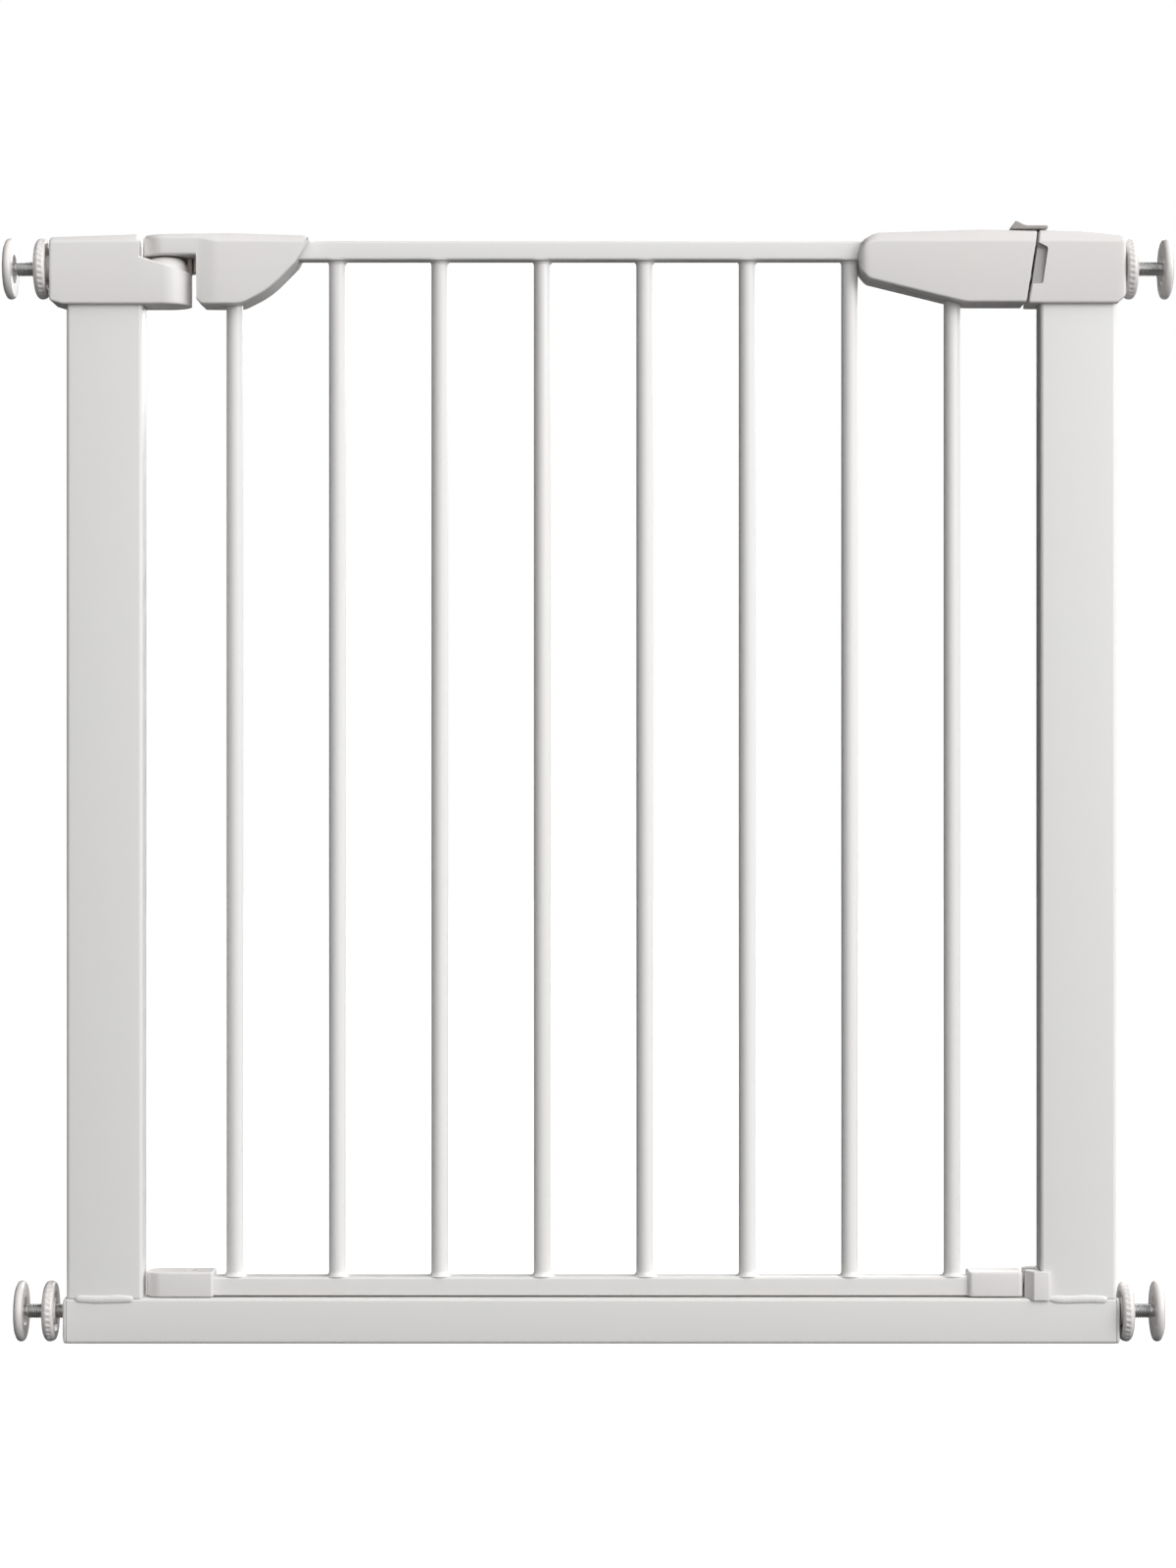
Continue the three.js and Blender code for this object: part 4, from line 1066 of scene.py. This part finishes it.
def wheel(name):
    """The ring's section is a rim with a full outer shoulder, a dished back and a hub. Each rim point
    is cut by flutes: depth x weight x (1 - cos(flutes x angle)) / 2, and the weight is a bell curve
    across the rim, so a smooth lip stays on either side."""
    x, y, z = span(f"{name}_hand_wheel")
    side = -1 if name.endswith("left") else 1
    outer, inner = (x[0], x[1]) if side < 0 else (x[1], x[0])
    rim_back = outer - side * RIM_WIDTH
    radius = y[1]

    def across(share):
        return outer + (rim_back - outer) * share

    angle = np.linspace(-np.pi / 2, np.pi / 2, RIM_STEPS)
    shoulder = np.where(angle < 0, OUTER_SHOULDER, INNER_SHOULDER)
    rim = np.stack([radius - shoulder * (1 - np.cos(angle)), across(0.5 + 0.5 * np.sin(angle))], axis=1)
    front = [(WHEEL_BORE, across(0.16)), (6 * MM, across(0.12)), (9.5 * MM, across(0.12)),
             (11 * MM, across(0.02))]
    rear = [(13.4 * MM, across(0.97)), (12 * MM, across(0.72)), (10 * MM, across(0.66)),
            (8.9 * MM, across(0.75)), (8.7 * MM, inner), (WHEEL_BORE, inner)]
    profile = np.array([*front, *rim, *rear])
    weight = np.zeros(len(profile))
    weight[len(front):len(front) + RIM_STEPS] = np.exp(-(((angle - 0.25) / 0.34) ** 2))

    def flutes(index, bearing):
        return -FLUTE_DEPTH * weight[index] * (0.5 - 0.5 * np.cos(FLUTES * bearing))

    return turned("X", profile, (0, sum(z) / 2), FLUTES * 10, flutes)


for name in SPINDLES:
    piece = solid(f"{name}_fluted_wheel", [wheel(name)])
    place(piece, WHEEL_WHITE, f"{name}_wheel", [f"{name}_hand_wheel"], 50)

# %% [markdown]
# ## Screws
# The casings are closed by cross-head screws from the rear. A head is a flattened dome on a polar grid, and the
# cross is pressed into it: where a point lies within the width of either arm, the surface drops.

# %% Cross-head screws
SHANK_RADIUS = 1.6 * MM


def screw_head(axis, centre, radius, base, top, arm=0.55 * MM, depth=0.9 * MM):
    """Dome height = base + (top - base) (0.35 + 0.65 sqrt(1 - (0.92 r)**2)), less the cross: depth times
    a smooth step of how far inside an arm the point lies. The underside is a flat disc."""
    share = np.concatenate([np.linspace(0, 0.62, 20), np.linspace(0.66, 1, 8)])[:, None]
    angle = np.linspace(0, 2 * np.pi, 96, endpoint=False)[None, :]
    u, v = radius * share * np.cos(angle), radius * share * np.sin(angle)
    inside = arm - np.minimum(np.abs(u), np.abs(v))
    reach = 0.62 * radius - np.hypot(u, v)
    press = np.clip(np.minimum(inside, reach) / (0.25 * MM) + 0.5, 0, 1)
    dome = (top - base) * (0.35 + 0.65 * np.sqrt(1 - (0.92 * share) ** 2))
    w = base + dome - np.sign(top - base) * depth * press
    face = np.stack([u + centre[0], v + centre[1], w + 0 * u], axis=-1)
    under = face[-1:].copy()
    under[..., 2] = base
    rows = np.concatenate([face, under])[..., ORDER[axis]]
    return skin(rows)


casings = ("hinge_casing", "latch_casing", "door_hinge_casing", "handle_casing")
for name in [f"{casing}_screw_{i}" for casing in casings for i in (1, 2)]:
    x, y, z = span(name)
    centre, radius = (sum(x) / 2, sum(z) / 2), (x[1] - x[0]) / 2
    head = screw_head("Y", centre, radius, y[1] - 2 * MM, y[1])
    shank = cylinder("Y", SHANK_RADIUS, centre, (y[0], y[1] - 1.9 * MM), 20)
    piece = solid(f"{name}_cross_head", [head, shank])
    place(piece, ZINC, body_of(name), [name])
x, y, z = span("hinge_shoe_screw")
head = screw_head("Z", (sum(x) / 2, sum(y) / 2), (x[1] - x[0]) / 2, z[1] - 1.3 * MM, z[1])
shank = cylinder("Z", SHANK_RADIUS, (sum(x) / 2, 0), (z[0], z[1] - 1.2 * MM), 20)
piece = solid("hinge_shoe_cross_head", [head, shank])
place(piece, PIN_STEEL, "door", ["hinge_shoe_screw"])

# %% [markdown]
# ## Pieces kept from the frame
# The pins, bushes, strap, bolt and spring are plain machined or moulded parts, and their shape is already
# right. They only take their finishes.

# %% Finishes of the kept pieces
KEPT = {
    "upper_hinge_pin": PIN_STEEL, "lower_hinge_pin": PIN_STEEL, "upper_hinge_strap": PIN_STEEL,
    "upper_hinge_bush": BUSH_WHITE, "lower_hinge_bush": BUSH_WHITE,
    "lock_bolt": ZINC, "latch_spring": ZINC,
}
for name, material in KEPT.items():
    mesh = frame["nodes"][name].data
    mesh.materials.clear()
    mesh.materials.append(material)
print("kept", len(KEPT), "frame pieces")

# %% [markdown]
# ## Studio
# The gate stands on a pale floor in soft light. The surroundings are bright on the right and dark on the left,
# which gives each round bar its dark side. A large soft box stands to the right in front, and another behind.

# %% Floor, lights and world
floor_mesh = bpy.data.meshes.new("floor")
floor_mesh.from_pydata([(-9, -9, 0), (9, -9, 0), (9, 9, 0), (-9, 9, 0)], [], [(0, 1, 2, 3)])
floor = new_object("floor", floor_mesh)
pale, pale_tree, pale_shader = new_material("pale_floor")
pale_shader.inputs["Base Color"].default_value = (0.10, 0.10, 0.10, 1)
pale_shader.inputs["Roughness"].default_value = 0.9
pale_shader.inputs["Emission Color"].default_value = (1, 1, 1, 1)
camera_sees = node(pale_tree, "ShaderNodeLightPath").outputs["Is Camera Ray"]
link(pale_tree, camera_sees, pale_shader.inputs["Emission Strength"])
floor_mesh.materials.append(pale)


def soft_box(name, location, target, size, power):
    """An area light of the given size at the location, looking at the target."""
    light = bpy.data.lights.new(name, "AREA")
    light.shape, light.size, light.energy = "SQUARE", size, power
    lamp = new_object(name, light)
    lamp.location = location
    away = np.array(location) - np.array(target)
    bearing = math.atan2(away[0], -away[1])
    pitch = math.atan2(math.hypot(away[0], away[1]), away[2])
    lamp.rotation_euler = (pitch, 0, bearing)
    lamp.visible_camera = False


middle = (0, 0, 0.37)
BRIGHT_SIDE = (0.848, -0.53, 0.0)
soft_box("key_box", (2.2, -1.9, 1.5), middle, 1.6, 34)
soft_box("rear_box", (0.9, 2.6, 1.7), middle, 1.6, 40)

world = bpy.data.worlds.new("studio")
bpy.context.scene.world = world
world.use_nodes = True
sky = world.node_tree
sky.nodes.clear()
towards = node(sky, "ShaderNodeVectorMath", operation="DOT_PRODUCT")
towards.inputs[1].default_value = BRIGHT_SIDE
link(sky, node(sky, "ShaderNodeTexCoord").outputs["Generated"], towards.inputs[0])
ramp = remap(sky, towards.outputs["Value"], 0.0, 1.45, -0.12, 0.12)
surround = node(sky, "ShaderNodeBackground")
link(sky, ramp, surround.inputs["Strength"])
white = node(sky, "ShaderNodeBackground", Strength=1.0)
seen = node(sky, "ShaderNodeLightPath")
both = node(sky, "ShaderNodeMixShader")
link(sky, seen.outputs["Is Camera Ray"], both.inputs[0])
link(sky, surround.outputs[0], both.inputs[1])
link(sky, white.outputs[0], both.inputs[2])
link(sky, both.outputs[0], node(sky, "ShaderNodeOutputWorld").inputs["Surface"])
surround.inputs["Color"].default_value = (1, 1, 1, 1)
white.inputs["Color"].default_value = (1, 1, 1, 1)
bpy.context.scene.view_settings.view_transform = "Standard"

# %% [markdown]
# The camera looks straight at the middle of the gate, square on, from a little over two metres, so the
# undersides of the casings and the tops of the lower rail both show.

# %% Camera
DISTANCE, SEEN_WIDTH, EYE_HEIGHT, SENSOR = 2.33, 0.7784, 0.3687, 36.0
camera_data = bpy.data.cameras.new("camera")
camera_data.sensor_fit = "HORIZONTAL"
camera_data.sensor_width = SENSOR
camera_data.lens = SENSOR * DISTANCE / SEEN_WIDTH
camera = new_object("camera", camera_data)
camera.location = (0, -DISTANCE, EYE_HEIGHT)
camera.rotation_euler = (math.pi / 2, 0, 0)
bpy.context.scene.camera = camera
print("lens", round(camera_data.lens, 1), "mm")
